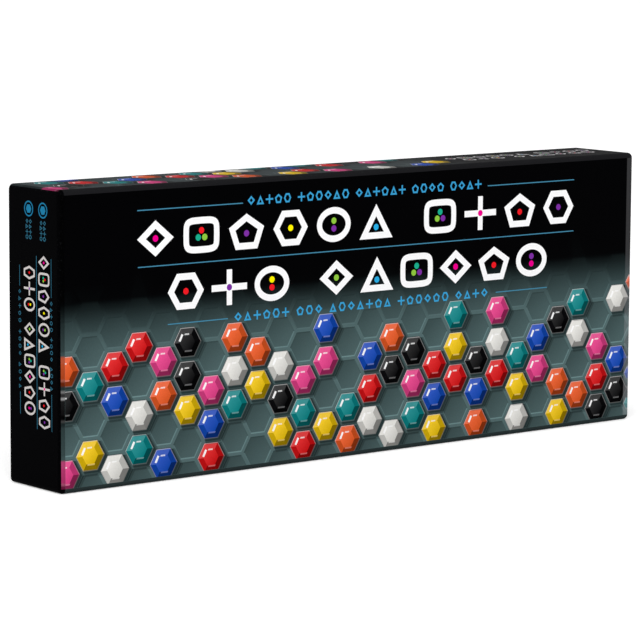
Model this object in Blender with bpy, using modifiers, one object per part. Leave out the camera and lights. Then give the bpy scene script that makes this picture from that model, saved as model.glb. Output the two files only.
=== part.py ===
"""Boxed code-breaking peg game, stood on its long side as on a shop shelf.

A rigid box of two trays, a lid over a base, holds a folded rules leaflet, a thermoformed insert
and a moulded game board. The board has twelve guess rows, each with five code sockets and five
key sockets, an open tray for loose pegs, and one hidden row under a hinged shield. Forty domed
code pegs and twelve small key pegs are pushed into their sockets.

Every piece is drawn as if the box lay on its back on a table: x runs along the length, y runs
across, and z rises from the underside of the base. One empty stands the whole box upright.
Lengths are in metres. The pegs set the size of the board, and the board sets the size of the box.
"""

import math

import bmesh
import bpy
from mathutils import Matrix

# Code pegs: a domed head on a short rim, over a straight stem.
PEG_HEAD_DIAMETER = 0.0110
PEG_HEAD_HEIGHT = 0.0078
PEG_RIM_HEIGHT = 0.0012
PEG_STEM_DIAMETER = 0.0044
PEG_STEM_LENGTH = 0.0070
PEG_SIDES = 10

# Key pegs: the same form, much smaller.
KEY_HEAD_DIAMETER = 0.0046
KEY_HEAD_HEIGHT = 0.0034
KEY_RIM_HEIGHT = 0.0008
KEY_STEM_DIAMETER = 0.0022
KEY_STEM_LENGTH = 0.0060
KEY_SIDES = 8

# Dome of a peg, slightly pointed: shares of the head's radius and of the height above its rim.
DOME_SHARES = ((0.0, 1.0), (0.46, 0.85), (0.83, 0.46), (1.0, 0.0))

# Fits. A seat gap lies between two pieces that rest on each other.
SEAT_GAP = 0.0003
SOCKET_CLEARANCE = 0.0003
CUT_OVERRUN = 0.0010

# Rows of the board. A pad is the raised, round-ended field that a row of sockets stands in. The
# key sockets of a row stand in zigzag on a pad of their own.
ROWS = 12
SOCKETS = 5
SOCKET_SIDES = 8
PEG_GAP = 0.0016
PAD_MARGIN = 0.0016
PAD_GAP = 0.0056
PAD_RISE = 0.0008
PAD_ARC_STEPS = 6
SOCKET_BAR_DEPTH = 0.0030
KEY_GAP = 0.0014
KEY_STAGGER = 0.0056
KEY_PAD_MARGIN = 0.0016
KEY_PAD_SPACING = 0.0063
KEY_EDGE_MARGIN = 0.0084

# Shell of the board, a thin moulding that is open below, with cross ribs.
BOARD_HEIGHT = 0.0110
BOARD_WALL = 0.0020
BOARD_CORNER = 0.0040
BOARD_EDGE = 0.0008
BOARD_EDGE_MARGIN = 0.0010
RIB_THICKNESS = 0.0012
RIB_LIFT = 0.0010
RIB_EVERY = 3

# Open tray for loose pegs at the right end of the board.
TRAY_LENGTH = 0.0440
TRAY_GAP = 0.0050
TRAY_WALL = 0.0016
TRAY_LIFT = 0.0019
TRAY_CORNER = 0.0050
TRAY_MARGIN = 0.0063

# Shield over the hidden row, a hood that turns on two moulded pins in two ears of the board.
SHIELD_WALL = 0.0014
SHIELD_SIDE_GAP = 0.0005
SHIELD_HEAD_ROOM = 0.0018
SHIELD_CROWN = 0.0040
SHIELD_ROW_GAP = 0.0040
SHIELD_PARK_GAP = 0.0009
SHIELD_LIP = 0.0015
SHIELD_LIP_THICKNESS = 0.0012
SHIELD_LIP_WIDTH = 0.0200
PIVOT_RADIUS = 0.0022
PIN_DIAMETER = 0.0030
PIN_SIDES = 12
PIN_CLEARANCE = 0.0003
EAR_THICKNESS = 0.0030
EAR_WALL = 0.0010
EAR_GAP = 0.0004

# Thermoformed insert: a pocket for the board, a flange to the walls of the base, two finger notches.
INSERT_WALL = 0.0010
INSERT_CLEARANCE = 0.0004
POCKET_CLEARANCE = 0.0005
POCKET_DEPTH = 0.0070
POCKET_CORNER = 0.0045
FLANGE_SIDE = 0.0022
NOTCH_REACH = 0.0050
NOTCH_LEDGE = 0.0011
NOTCH_RADIUS = 0.0120
NOTCH_ARC_STEPS = 8

# Rules leaflet: one sheet folded once, with its fold at the right.
LEAFLET_LENGTH = 0.2000
LEAFLET_WIDTH = 0.1050
LEAFLET_SHEET = 0.0004
LEAFLET_OPENING = 0.0005
LEAFLET_FOLD_STEPS = 4

# Box. The lid reaches the full depth, but for a thin reveal of the base at the back.
BASE_WALL = 0.0016
BASE_INNER_RADIUS = 0.0008
LID_WALL = 0.0018
LID_INNER_RADIUS = 0.0006
LID_CLEARANCE = 0.0006
LID_HEAD_GAP = 0.0004
LID_REVEAL = 0.0005
HEADROOM = 0.0135
BOX_EDGE_STEPS = 3

# What is pushed into the board, from the rightmost row leftwards.
FILLED_ROWS = 8
KEY_PEGS_IN_ROW = (1, 2, 1, 2, 2, 1, 2, 1)

# Colour, roughness and metallic value of each material.
PEG_COLOURS = {
    "white": (0.80, 0.79, 0.76, 1.0),
    "pink": (0.85, 0.08, 0.30, 1.0),
    "red": (0.78, 0.01, 0.01, 1.0),
    "orange": (0.90, 0.13, 0.01, 1.0),
    "yellow": (0.92, 0.60, 0.01, 1.0),
    "teal": (0.00, 0.27, 0.27, 1.0),
    "blue": (0.01, 0.07, 0.48, 1.0),
    "black": (0.01, 0.01, 0.01, 1.0),
}
KEY_COLOURS = {
    "black": (0.01, 0.01, 0.01, 1.0),
    "white": (0.80, 0.79, 0.76, 1.0),
}
BOX_BLACK = (0.006, 0.006, 0.007, 1.0)
BOARD_GREY = (0.085, 0.115, 0.120, 1.0)
SHIELD_GREY = (0.050, 0.070, 0.075, 1.0)
INSERT_BLACK = (0.012, 0.012, 0.013, 1.0)
PAPER_WHITE = (0.80, 0.80, 0.78, 1.0)
GLOSS = 0.18
SATIN = 0.45
MATT = 0.75

# Rows of sockets.
SOCKET_DIAMETER = PEG_STEM_DIAMETER + 2 * SOCKET_CLEARANCE
KEY_SOCKET_DIAMETER = KEY_STEM_DIAMETER + 2 * SOCKET_CLEARANCE
PEG_PITCH = PEG_HEAD_DIAMETER + PEG_GAP
KEY_PITCH = KEY_HEAD_DIAMETER + KEY_GAP
PAD_WIDTH = PEG_HEAD_DIAMETER + 2 * PAD_MARGIN
PAD_LENGTH = (SOCKETS - 1) * PEG_PITCH + PAD_WIDTH
KEY_PAD_WIDTH = KEY_STAGGER + KEY_HEAD_DIAMETER + 2 * KEY_PAD_MARGIN
KEY_PAD_LENGTH = (SOCKETS - 1) * KEY_PITCH + KEY_HEAD_DIAMETER + 2 * KEY_PAD_MARGIN
ROW_PITCH = max(PAD_WIDTH, KEY_PAD_WIDTH) + PAD_GAP
ROWS_LENGTH = (ROWS - 1) * ROW_PITCH + PAD_WIDTH

# Shield, measured from its pivot.
PIVOT_RISE = PIVOT_RADIUS + SEAT_GAP
SHIELD_CAVITY_WIDTH = PAD_WIDTH + 2 * SHIELD_SIDE_GAP
SHIELD_CAVITY_LENGTH = PAD_LENGTH + 2 * SHIELD_SIDE_GAP
SHIELD_LENGTH = SHIELD_CAVITY_LENGTH + 2 * SHIELD_WALL
SHIELD_LEFT = -PIVOT_RADIUS
SHIELD_RIGHT = SHIELD_LEFT + SHIELD_CAVITY_WIDTH + 2 * SHIELD_WALL
SHIELD_CEILING = SEAT_GAP + PEG_HEAD_HEIGHT + SHIELD_HEAD_ROOM - PIVOT_RISE
SHIELD_TOP = SHIELD_CEILING + SHIELD_WALL
SHIELD_SWING = math.hypot(PIVOT_RADIUS, SHIELD_TOP)
HIDDEN_ROW_FROM_PIVOT = SHIELD_LEFT + SHIELD_WALL + SHIELD_CAVITY_WIDTH / 2

# Plan of the board, with its left end, its front edge and its rows worked out from the pieces on it.
EAR_REACH = SHIELD_SIDE_GAP + SHIELD_WALL + EAR_GAP + EAR_THICKNESS
BOARD_MARGIN = EAR_REACH + BOARD_EDGE_MARGIN
BOARD_WIDTH = BOARD_MARGIN + PAD_LENGTH + KEY_PAD_SPACING + KEY_PAD_LENGTH + KEY_EDGE_MARGIN
PIVOT_FROM_LEFT = BOARD_EDGE_MARGIN + SHIELD_PARK_GAP + SHIELD_SWING
ROWS_FROM_LEFT = PIVOT_FROM_LEFT + SHIELD_RIGHT + SHIELD_LIP + SHIELD_ROW_GAP
BOARD_LENGTH = ROWS_FROM_LEFT + ROWS_LENGTH + TRAY_GAP + TRAY_LENGTH + TRAY_MARGIN
BOARD_LEFT = -BOARD_LENGTH / 2
BOARD_FRONT = -BOARD_WIDTH / 2
PIVOT_X = BOARD_LEFT + PIVOT_FROM_LEFT
HIDDEN_ROW_X = PIVOT_X + HIDDEN_ROW_FROM_PIVOT
FIRST_ROW_X = BOARD_LEFT + ROWS_FROM_LEFT + PAD_WIDTH / 2
TRAY_X = BOARD_LEFT + ROWS_FROM_LEFT + ROWS_LENGTH + TRAY_GAP + TRAY_LENGTH / 2
CODE_PAD_Y = BOARD_FRONT + BOARD_MARGIN + PAD_LENGTH / 2
KEY_PAD_Y = BOARD_FRONT + BOARD_MARGIN + PAD_LENGTH + KEY_PAD_SPACING + KEY_PAD_LENGTH / 2

# Insert and box, outwards from the board.
POCKET_LENGTH = BOARD_LENGTH + 2 * POCKET_CLEARANCE
POCKET_WIDTH = BOARD_WIDTH + 2 * POCKET_CLEARANCE
INSERT_LENGTH = POCKET_LENGTH + 2 * (NOTCH_REACH + INSERT_WALL + NOTCH_LEDGE)
INSERT_WIDTH = POCKET_WIDTH + 2 * (INSERT_WALL + FLANGE_SIDE)
BASE_LENGTH = INSERT_LENGTH + 2 * (INSERT_CLEARANCE + BASE_WALL)
BASE_WIDTH = INSERT_WIDTH + 2 * (INSERT_CLEARANCE + BASE_WALL)
BOX_LENGTH = BASE_LENGTH + 2 * (LID_CLEARANCE + LID_WALL)
BOX_WIDTH = BASE_WIDTH + 2 * (LID_CLEARANCE + LID_WALL)

# Heights of the stack, upwards from the underside of the base.
LEAFLET_HEIGHT = 2 * LEAFLET_SHEET + LEAFLET_OPENING
LEAFLET_Z = BASE_WALL + SEAT_GAP
INSERT_Z = LEAFLET_Z + LEAFLET_HEIGHT + SEAT_GAP
BOARD_Z = INSERT_Z + INSERT_WALL + SEAT_GAP
PLATE_Z = BOARD_Z + BOARD_HEIGHT
PEG_SEAT_Z = PLATE_Z + PAD_RISE + SEAT_GAP
LID_CEILING_Z = PEG_SEAT_Z + PEG_HEAD_HEIGHT + HEADROOM
BASE_RIM_Z = LID_CEILING_Z - LID_HEAD_GAP
BOX_DEPTH = LID_CEILING_Z + LID_WALL


def clear_scene():
    """Removes the objects of the startup scene."""
    for obj in list(bpy.data.objects):
        bpy.data.objects.remove(obj)


def new_collection(name):
    """A collection linked to the scene."""
    collection = bpy.data.collections.new(name)
    bpy.context.scene.collection.children.link(collection)
    return collection


def new_material(name, colour, roughness):
    """A Principled material with a plain colour. Nothing in the box is metal."""
    material = bpy.data.materials.new(name)
    material.use_nodes = True
    shader = material.node_tree.nodes["Principled BSDF"]
    shader.inputs["Base Color"].default_value = colour
    shader.inputs["Roughness"].default_value = roughness
    shader.inputs["Metallic"].default_value = 0
    material.diffuse_color = colour
    return material


def new_object(name, mesh, collection):
    """An object that holds the mesh."""
    obj = bpy.data.objects.new(name, mesh)
    collection.objects.link(obj)
    return obj


def as_part(obj, material, location=(0, 0, 0)):
    """Makes the object a piece of the game: its material, its place and the empty that stands it up."""
    if not obj.material_slots:
        obj.data.materials.append(None)
    obj.material_slots[0].link = "OBJECT"
    obj.material_slots[0].material = material
    obj.location = location
    obj.parent = upright
    return obj


def as_helper(obj):
    """Makes the object a cutter or an addition for a Boolean, which is no piece by itself."""
    obj.hide_render = True
    obj.display_type = "WIRE"
    return obj


def combine(obj, helper, operation):
    """Adds a Boolean to the object: UNION joins the helper to it, DIFFERENCE cuts the helper out."""
    helper.parent = obj
    modifier = obj.modifiers.new(operation.title() + " " + helper.name, "BOOLEAN")
    modifier.operation = operation
    modifier.solver = "EXACT"
    modifier.object = as_helper(helper)
    return modifier


def round_edges(obj, radius, steps):
    """Rounds each edge sharper than half a right angle."""
    modifier = obj.modifiers.new("Rounded edges", "BEVEL")
    modifier.width = radius
    modifier.segments = steps
    modifier.limit_method = "ANGLE"
    modifier.angle_limit = math.radians(45)
    return modifier


def arc(centre, radius, start, end, steps):
    """Points on an arc, from the start angle to the end angle in degrees, both ends included."""
    angles = [math.radians(start + (end - start) * step / steps) for step in range(steps + 1)]
    return [(centre[0] + radius * math.cos(a), centre[1] + radius * math.sin(a)) for a in angles]


def circle(centre, diameter, sides):
    """Outline of a circle, with a corner at +x."""
    return arc(centre, diameter / 2, 0, 360, sides)[:-1]


def rounded_rectangle(centre, length, width, radius, steps):
    """Outline of a rectangle with round corners, anticlockwise from its right side."""
    reach_x = length / 2 - radius
    reach_y = width / 2 - radius
    corners = ((reach_x, reach_y, 0), (-reach_x, reach_y, 90), (-reach_x, -reach_y, 180), (reach_x, -reach_y, 270))
    points = []
    for x, y, turn in corners:
        points += arc((centre[0] + x, centre[1] + y), radius, turn, turn + 90, steps)
    return points


def stadium(centre, width, length):
    """Outline of a round-ended field that is long across the board."""
    straight = (length - width) / 2
    above = arc((centre[0], centre[1] + straight), width / 2, 0, 180, PAD_ARC_STEPS)
    below = arc((centre[0], centre[1] - straight), width / 2, 180, 360, PAD_ARC_STEPS)
    return above + below


def slab(name, outlines, low, high, collection):
    """A mesh object with each closed outline filled and extruded from the low to the high z."""
    curve = bpy.data.curves.new(name, "CURVE")
    curve.dimensions = "2D"
    curve.fill_mode = "BOTH"
    curve.extrude = (high - low) / 2
    for outline in outlines:
        spline = curve.splines.new("POLY")
        spline.points.add(len(outline) - 1)
        spline.use_cyclic_u = True
        for point, (x, y) in zip(spline.points, outline):
            point.co = (x, y, 0, 1)
    source = bpy.data.objects.new(name + "_outline", curve)
    collection.objects.link(source)
    bpy.context.view_layer.update()
    evaluated = source.evaluated_get(bpy.context.evaluated_depsgraph_get())
    mesh = bpy.data.meshes.new_from_object(evaluated)
    mesh.name = name
    bpy.data.objects.remove(source)
    bpy.data.curves.remove(curve)
    mesh.transform(Matrix.Translation((0, 0, (low + high) / 2)))
    weld_and_orient(mesh)
    return new_object(name, mesh, collection)


def chamfer_rim(obj, height, width):
    """Chamfers the upper edge of a slab whose upper face is at the height, and sets that face level."""
    shape = bmesh.new()
    shape.from_mesh(obj.data)
    bmesh.ops.dissolve_limit(shape, angle_limit=math.radians(1), verts=shape.verts, edges=shape.edges)
    level = height - width / 2
    rim = [edge for edge in shape.edges if all(vertex.co.z > level for vertex in edge.verts)]
    bmesh.ops.bevel(shape, geom=rim, offset=width, segments=1, affect="EDGES")
    for vertex in shape.verts:
        if vertex.co.z > level:
            vertex.co.z = height
    shape.to_mesh(obj.data)
    shape.free()


def weld_and_orient(mesh):
    """Closes the loose caps of a filled outline and points every face outwards."""
    shape = bmesh.new()
    shape.from_mesh(mesh)
    bmesh.ops.remove_doubles(shape, verts=shape.verts, dist=1e-6)
    bmesh.ops.recalc_face_normals(shape, faces=shape.faces)
    shape.to_mesh(mesh)
    shape.free()


def turn_upright_along_y(obj):
    """Turns a slab whose outline was drawn as (x, z), so that its extrusion runs along y."""
    obj.data.transform(Matrix.Rotation(math.radians(90), 4, "X"))
    return obj


def boxes(name, spans, collection):
    """One mesh of plain boxes, each given as its low and high corner."""
    shape = bmesh.new()
    for low, high in spans:
        size = [h - l for l, h in zip(low, high)]
        centre = [(h + l) / 2 for l, h in zip(low, high)]
        place = Matrix.Translation(centre) @ Matrix.Diagonal((*size, 1))
        bmesh.ops.create_cube(shape, size=1, matrix=place)
    mesh = bpy.data.meshes.new(name)
    shape.to_mesh(mesh)
    shape.free()
    return new_object(name, mesh, collection)


def turned(name, profile, sides, collection):
    """A solid of revolution: the (radius, z) profile runs from its top on the axis down to its foot."""
    mesh = bpy.data.meshes.new(name)
    mesh.from_pydata([(r, 0, z) for r, z in profile], [(i, i + 1) for i in range(len(profile) - 1)], [])
    obj = new_object(name, mesh, collection)
    add_screw(obj, sides)
    return obj


def add_screw(obj, sides):
    """Turns the profile of the object once round its z axis."""
    modifier = obj.modifiers.new("Turned", "SCREW")
    modifier.axis = "Z"
    modifier.steps = sides
    modifier.render_steps = sides
    modifier.use_merge_vertices = True
    modifier.merge_threshold = 1e-5
    modifier.use_smooth_shade = True


def folded_tray(name, length, width, depth, outer_radius, wall, opening_up):
    """A tray of folded board: five faces of a box with rounded edges, thickened inwards."""
    shape = bmesh.new()
    bmesh.ops.create_cube(shape, size=1, matrix=Matrix.Diagonal((length, width, depth, 1)))
    side = 1 if opening_up else -1
    mouth = [face for face in shape.faces if face.normal.z * side > 0.5]
    bmesh.ops.delete(shape, geom=mouth, context="FACES_ONLY")
    mesh = bpy.data.meshes.new(name)
    shape.to_mesh(mesh)
    shape.free()
    mesh.transform(Matrix.Translation((0, 0, depth / 2)))
    obj = new_object(name, mesh, game)
    round_edges(obj, outer_radius, BOX_EDGE_STEPS)
    thickness = obj.modifiers.new("Board thickness", "SOLIDIFY")
    thickness.thickness = wall
    thickness.offset = -1
    thickness.use_even_offset = True
    return obj


def build_base():
    """The base tray, which opens upwards."""
    radius = BASE_WALL + BASE_INNER_RADIUS
    obj = folded_tray("box_base", BASE_LENGTH, BASE_WIDTH, BASE_RIM_Z, radius, BASE_WALL, opening_up=True)
    return as_part(obj, new_material("base_board", BOX_BLACK, SATIN))


def build_lid():
    """The lid, which opens downwards over the base."""
    radius = LID_WALL + LID_INNER_RADIUS
    obj = folded_tray(
        "box_lid", BOX_LENGTH, BOX_WIDTH, BOX_DEPTH - LID_REVEAL, radius, LID_WALL, opening_up=False
    )
    return as_part(obj, new_material("lid_board", BOX_BLACK, SATIN), (0, 0, LID_REVEAL))


def build_leaflet():
    """The rules leaflet: a sheet that runs right, round its fold, and back over itself."""
    fold_radius = (LEAFLET_SHEET + LEAFLET_OPENING) / 2
    straight = LEAFLET_LENGTH - LEAFLET_SHEET / 2 - fold_radius
    centre = (-LEAFLET_LENGTH / 2 + straight, LEAFLET_SHEET / 2 + fold_radius)
    fold = arc(centre, fold_radius, -90, 90, LEAFLET_FOLD_STEPS)
    line = [(-LEAFLET_LENGTH / 2, fold[0][1]), *fold, (-LEAFLET_LENGTH / 2, fold[-1][1])]
    vertices = [(x, y, z) for y in (-LEAFLET_WIDTH / 2, LEAFLET_WIDTH / 2) for x, z in line]
    count = len(line)
    faces = [(i, i + 1, count + i + 1, count + i) for i in range(count - 1)]
    mesh = bpy.data.meshes.new("rules_leaflet")
    mesh.from_pydata(vertices, [], faces)
    obj = new_object("rules_leaflet", mesh, game)
    thickness = obj.modifiers.new("Sheet thickness", "SOLIDIFY")
    thickness.thickness = LEAFLET_SHEET
    thickness.offset = 0
    thickness.use_even_offset = True
    return as_part(obj, new_material("leaflet_paper", PAPER_WHITE, MATT), (0, 0, LEAFLET_Z))


def pocket_outline(length, width, corner, notch_radius):
    """A rounded rectangle with a shallow finger notch in the middle of each short side."""
    centre_x = POCKET_LENGTH / 2 + NOTCH_REACH - NOTCH_RADIUS
    half_angle = math.degrees(math.acos((length / 2 - centre_x) / notch_radius))
    right = arc((centre_x, 0), notch_radius, -half_angle, half_angle, NOTCH_ARC_STEPS)
    left = arc((-centre_x, 0), notch_radius, 180 - half_angle, 180 + half_angle, NOTCH_ARC_STEPS)
    corners = rounded_rectangle((0, 0), length, width, corner, PAD_ARC_STEPS // 2)
    half = len(corners) // 2
    return right + corners[:half] + left + corners[half:]


def build_insert():
    """The insert: a flange on a pocket that has the board in it, cut from above."""
    wall = INSERT_WALL
    flange_low = POCKET_DEPTH
    corner = POCKET_CORNER + wall
    flange_outline = rounded_rectangle((0, 0), INSERT_LENGTH, INSERT_WIDTH, corner, PAD_ARC_STEPS // 2)
    obj = slab("insert_tray", [flange_outline], flange_low, flange_low + wall, game)
    outer = pocket_outline(POCKET_LENGTH + 2 * wall, POCKET_WIDTH + 2 * wall, corner, NOTCH_RADIUS + wall)
    inner = pocket_outline(POCKET_LENGTH, POCKET_WIDTH, POCKET_CORNER, NOTCH_RADIUS)
    combine(obj, slab("insert_pocket", [outer], 0, flange_low + wall / 2, helpers), "UNION")
    top = flange_low + wall + CUT_OVERRUN
    combine(obj, slab("insert_hollow", [inner], wall, top, helpers), "DIFFERENCE")
    return as_part(obj, new_material("insert_plastic", INSERT_BLACK, SATIN), (0, 0, INSERT_Z))


def row_x(row):
    """Middle of a guess row. Row 0 is next to the shield."""
    return FIRST_ROW_X + row * ROW_PITCH


def code_place(x, socket):
    """Middle of a code socket in the row at x. Socket 0 is at the front edge."""
    return x, CODE_PAD_Y + (socket - (SOCKETS - 1) / 2) * PEG_PITCH


def key_place(x, socket):
    """Middle of a key socket in the row at x. Socket 0 is next to the code sockets."""
    side = -1 if socket % 2 else 1
    return x + side * KEY_STAGGER / 2, KEY_PAD_Y + (socket - (SOCKETS - 1) / 2) * KEY_PITCH


def board_outline(inset):
    """Outline of the board, moved inwards by the inset."""
    length = BOARD_LENGTH - 2 * inset
    width = BOARD_WIDTH - 2 * inset
    return rounded_rectangle((0, 0), length, width, BOARD_CORNER - inset, PAD_ARC_STEPS // 2)


def board_shell():
    """The outside of the board with its upper edge chamfered, hollowed from below but for its plate."""
    obj = slab("game_board", [board_outline(0)], 0, BOARD_HEIGHT, game)
    chamfer_rim(obj, BOARD_HEIGHT, BOARD_EDGE)
    inside = board_outline(BOARD_WALL)
    hollow = slab("board_hollow", [inside], -CUT_OVERRUN, BOARD_HEIGHT - BOARD_WALL, helpers)
    combine(obj, hollow, "DIFFERENCE")
    return obj


def add_rows(board):
    """Two raised pads with socket bars under them for each guess row, and a bar for the hidden row."""
    rows = [row_x(row) for row in range(ROWS)]
    code_pads = [stadium((x, CODE_PAD_Y), PAD_WIDTH, PAD_LENGTH) for x in rows]
    key_pads = [stadium((x, KEY_PAD_Y), KEY_PAD_WIDTH, KEY_PAD_LENGTH) for x in rows]
    bar_low = BOARD_HEIGHT - BOARD_WALL - SOCKET_BAR_DEPTH
    pads = slab("row_pads", code_pads + key_pads, bar_low, BOARD_HEIGHT + PAD_RISE, helpers)
    combine(board, pads, "UNION")
    hidden_bar = stadium((HIDDEN_ROW_X, CODE_PAD_Y), PAD_WIDTH, PAD_LENGTH)
    bar = slab("hidden_row_bar", [hidden_bar], bar_low, BOARD_HEIGHT - BOARD_WALL / 2, helpers)
    combine(board, bar, "UNION")


def add_ribs_and_ears(board):
    """Cross ribs under the plate, the walls of the peg tray, and the two ears of the shield."""
    half_inside = BOARD_WIDTH / 2 - BOARD_WALL / 2
    under_plate = BOARD_HEIGHT - BOARD_WALL / 2
    spans = []
    for row in range(RIB_EVERY, ROWS, RIB_EVERY):
        x = row_x(row) - ROW_PITCH / 2
        low = (x - RIB_THICKNESS / 2, -half_inside, RIB_LIFT)
        spans.append((low, (x + RIB_THICKNESS / 2, half_inside, under_plate)))
    combine(board, boxes("cross_ribs", spans, helpers), "UNION")
    block = rounded_rectangle(
        (TRAY_X, 0),
        TRAY_LENGTH + 2 * TRAY_WALL,
        BOARD_WIDTH - 2 * (TRAY_MARGIN - TRAY_WALL),
        TRAY_CORNER + TRAY_WALL,
        PAD_ARC_STEPS // 2,
    )
    combine(board, slab("tray_walls", [block], TRAY_LIFT, under_plate, helpers), "UNION")
    for side in (-1, 1):
        combine(board, ear(side), "UNION")


def ear(side):
    """One upright of the shield's hinge: a round-topped plate that stands on the board."""
    radius = PIN_DIAMETER / 2 + PIN_CLEARANCE + EAR_WALL
    foot = -PIVOT_RISE - BOARD_WALL / 2
    outline = [(-radius, foot), (radius, foot), *arc((0, 0), radius, 0, 180, PAD_ARC_STEPS)]
    obj = slab(f"ear_{side + 1}", [outline], -EAR_THICKNESS / 2, EAR_THICKNESS / 2, helpers)
    turn_upright_along_y(obj)
    middle = SHIELD_LENGTH / 2 + EAR_GAP + EAR_THICKNESS / 2
    place = (PIVOT_X, CODE_PAD_Y + side * middle, BOARD_HEIGHT + PIVOT_RISE)
    obj.data.transform(Matrix.Translation(place))
    return obj


def cut_board(board):
    """Cuts the sockets, the hollow of the peg tray and the bores of the two ears."""
    rows = [row_x(row) for row in range(ROWS)]
    code = [code_place(x, socket) for x in [HIDDEN_ROW_X, *rows] for socket in range(SOCKETS)]
    keys = [key_place(x, socket) for x in rows for socket in range(SOCKETS)]
    outlines = [circle(place, SOCKET_DIAMETER, SOCKET_SIDES) for place in code]
    outlines += [circle(place, KEY_SOCKET_DIAMETER, SOCKET_SIDES) for place in keys]
    low = BOARD_HEIGHT - BOARD_WALL - SOCKET_BAR_DEPTH - CUT_OVERRUN
    high = BOARD_HEIGHT + PAD_RISE + CUT_OVERRUN
    combine(board, slab("sockets", outlines, low, high, helpers), "DIFFERENCE")
    hollow = rounded_rectangle(
        (TRAY_X, 0), TRAY_LENGTH, BOARD_WIDTH - 2 * TRAY_MARGIN, TRAY_CORNER, PAD_ARC_STEPS // 2
    )
    tray = slab("tray_hollow", [hollow], TRAY_LIFT + TRAY_WALL, high, helpers)
    combine(board, tray, "DIFFERENCE")
    reach = SHIELD_LENGTH / 2 + EAR_GAP + EAR_THICKNESS + CUT_OVERRUN
    bore_circle = circle((0, 0), PIN_DIAMETER + 2 * PIN_CLEARANCE, PIN_SIDES)
    bore = turn_upright_along_y(slab("ear_bores", [bore_circle], -reach, reach, helpers))
    bore.data.transform(Matrix.Translation((PIVOT_X, CODE_PAD_Y, BOARD_HEIGHT + PIVOT_RISE)))
    combine(board, bore, "DIFFERENCE")


def build_board():
    """The game board."""
    board = board_shell()
    add_rows(board)
    add_ribs_and_ears(board)
    cut_board(board)
    return as_part(board, new_material("board_plastic", BOARD_GREY, SATIN), (0, 0, BOARD_Z))


def shield_section(left, right, top, bottom, crown):
    """Cross section of the hood, round at its two upper corners."""
    right_crown = arc((right - crown, top - crown), crown, 0, 90, PAD_ARC_STEPS // 2)
    left_crown = arc((left + crown, top - crown), crown, 90, 180, PAD_ARC_STEPS // 2)
    return [(right, bottom), *right_crown, *left_crown]


def build_shield():
    """The hood over the hidden row. Its origin is on the axis that it turns about."""
    foot = -PIVOT_RADIUS
    half = SHIELD_LENGTH / 2
    section = shield_section(SHIELD_LEFT, SHIELD_RIGHT, SHIELD_TOP, foot, SHIELD_CROWN)
    section += arc((0, 0), PIVOT_RADIUS, 180, 270, PAD_ARC_STEPS // 2)
    obj = turn_upright_along_y(slab("code_shield", [section], -half, half, game))
    inside = shield_section(
        SHIELD_LEFT + SHIELD_WALL,
        SHIELD_RIGHT - SHIELD_WALL,
        SHIELD_CEILING,
        foot - CUT_OVERRUN,
        SHIELD_CROWN - SHIELD_WALL,
    )
    inside.append((SHIELD_LEFT + SHIELD_WALL, foot - CUT_OVERRUN))
    half_cavity = SHIELD_CAVITY_LENGTH / 2
    cavity = turn_upright_along_y(slab("shield_cavity", [inside], -half_cavity, half_cavity, helpers))
    combine(obj, cavity, "DIFFERENCE")
    reach = half + EAR_GAP + EAR_THICKNESS
    pin_circle = circle((0, 0), PIN_DIAMETER, PIN_SIDES)
    for side in (-1, 1):
        ends = sorted((side * (half - SHIELD_WALL / 2), side * reach))
        pin = turn_upright_along_y(slab(f"pin_{side + 1}", [pin_circle], *ends, helpers))
        combine(obj, pin, "UNION")
    lip_low = (SHIELD_RIGHT - SHIELD_WALL / 2, -SHIELD_LIP_WIDTH / 2, foot)
    lip_high = (SHIELD_RIGHT + SHIELD_LIP, SHIELD_LIP_WIDTH / 2, foot + SHIELD_LIP_THICKNESS)
    combine(obj, boxes("finger_lip", [(lip_low, lip_high)], helpers), "UNION")
    return as_part(obj, new_material("shield_plastic", SHIELD_GREY, GLOSS), (PIVOT_X, CODE_PAD_Y, PLATE_Z + PIVOT_RISE))


def peg_profile(head_diameter, head_height, rim_height, stem_diameter, stem_length):
    """Profile of a peg whose head stands on z 0: the dome, the rim, the underside and the stem."""
    head = head_diameter / 2
    stem = stem_diameter / 2
    dome = [(head * r, rim_height + (head_height - rim_height) * z) for r, z in DOME_SHARES]
    return dome + [(head, 0), (stem, 0), (stem, -stem_length), (0, -stem_length)]


def place_pegs(names, places, profile, sides, materials):
    """Sets one peg at each place, all turned from one profile, each in its own material."""
    first = turned(names[0], profile, sides, game)
    as_part(first, materials[0], places[0])
    for name, place, material in zip(names[1:], places[1:], materials[1:]):
        peg = new_object(name, first.data, game)
        add_screw(peg, sides)
        as_part(peg, material, place)


def build_code_pegs():
    """Forty code pegs. The eight colours follow each other along the rows, five of each."""
    materials = {name: new_material(name + "_peg", colour, GLOSS) for name, colour in PEG_COLOURS.items()}
    order = list(PEG_COLOURS)
    count = {name: 0 for name in order}
    names, places, chosen = [], [], []
    for step in range(FILLED_ROWS * SOCKETS):
        row, socket = divmod(step, SOCKETS)
        colour = order[step % len(order)]
        count[colour] += 1
        names.append(f"{colour}_peg_{count[colour]}")
        places.append((*code_place(row_x(ROWS - 1 - row), socket), PEG_SEAT_Z))
        chosen.append(materials[colour])
    profile = peg_profile(
        PEG_HEAD_DIAMETER, PEG_HEAD_HEIGHT, PEG_RIM_HEIGHT, PEG_STEM_DIAMETER, PEG_STEM_LENGTH
    )
    place_pegs(names, places, profile, PEG_SIDES, chosen)


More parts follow.
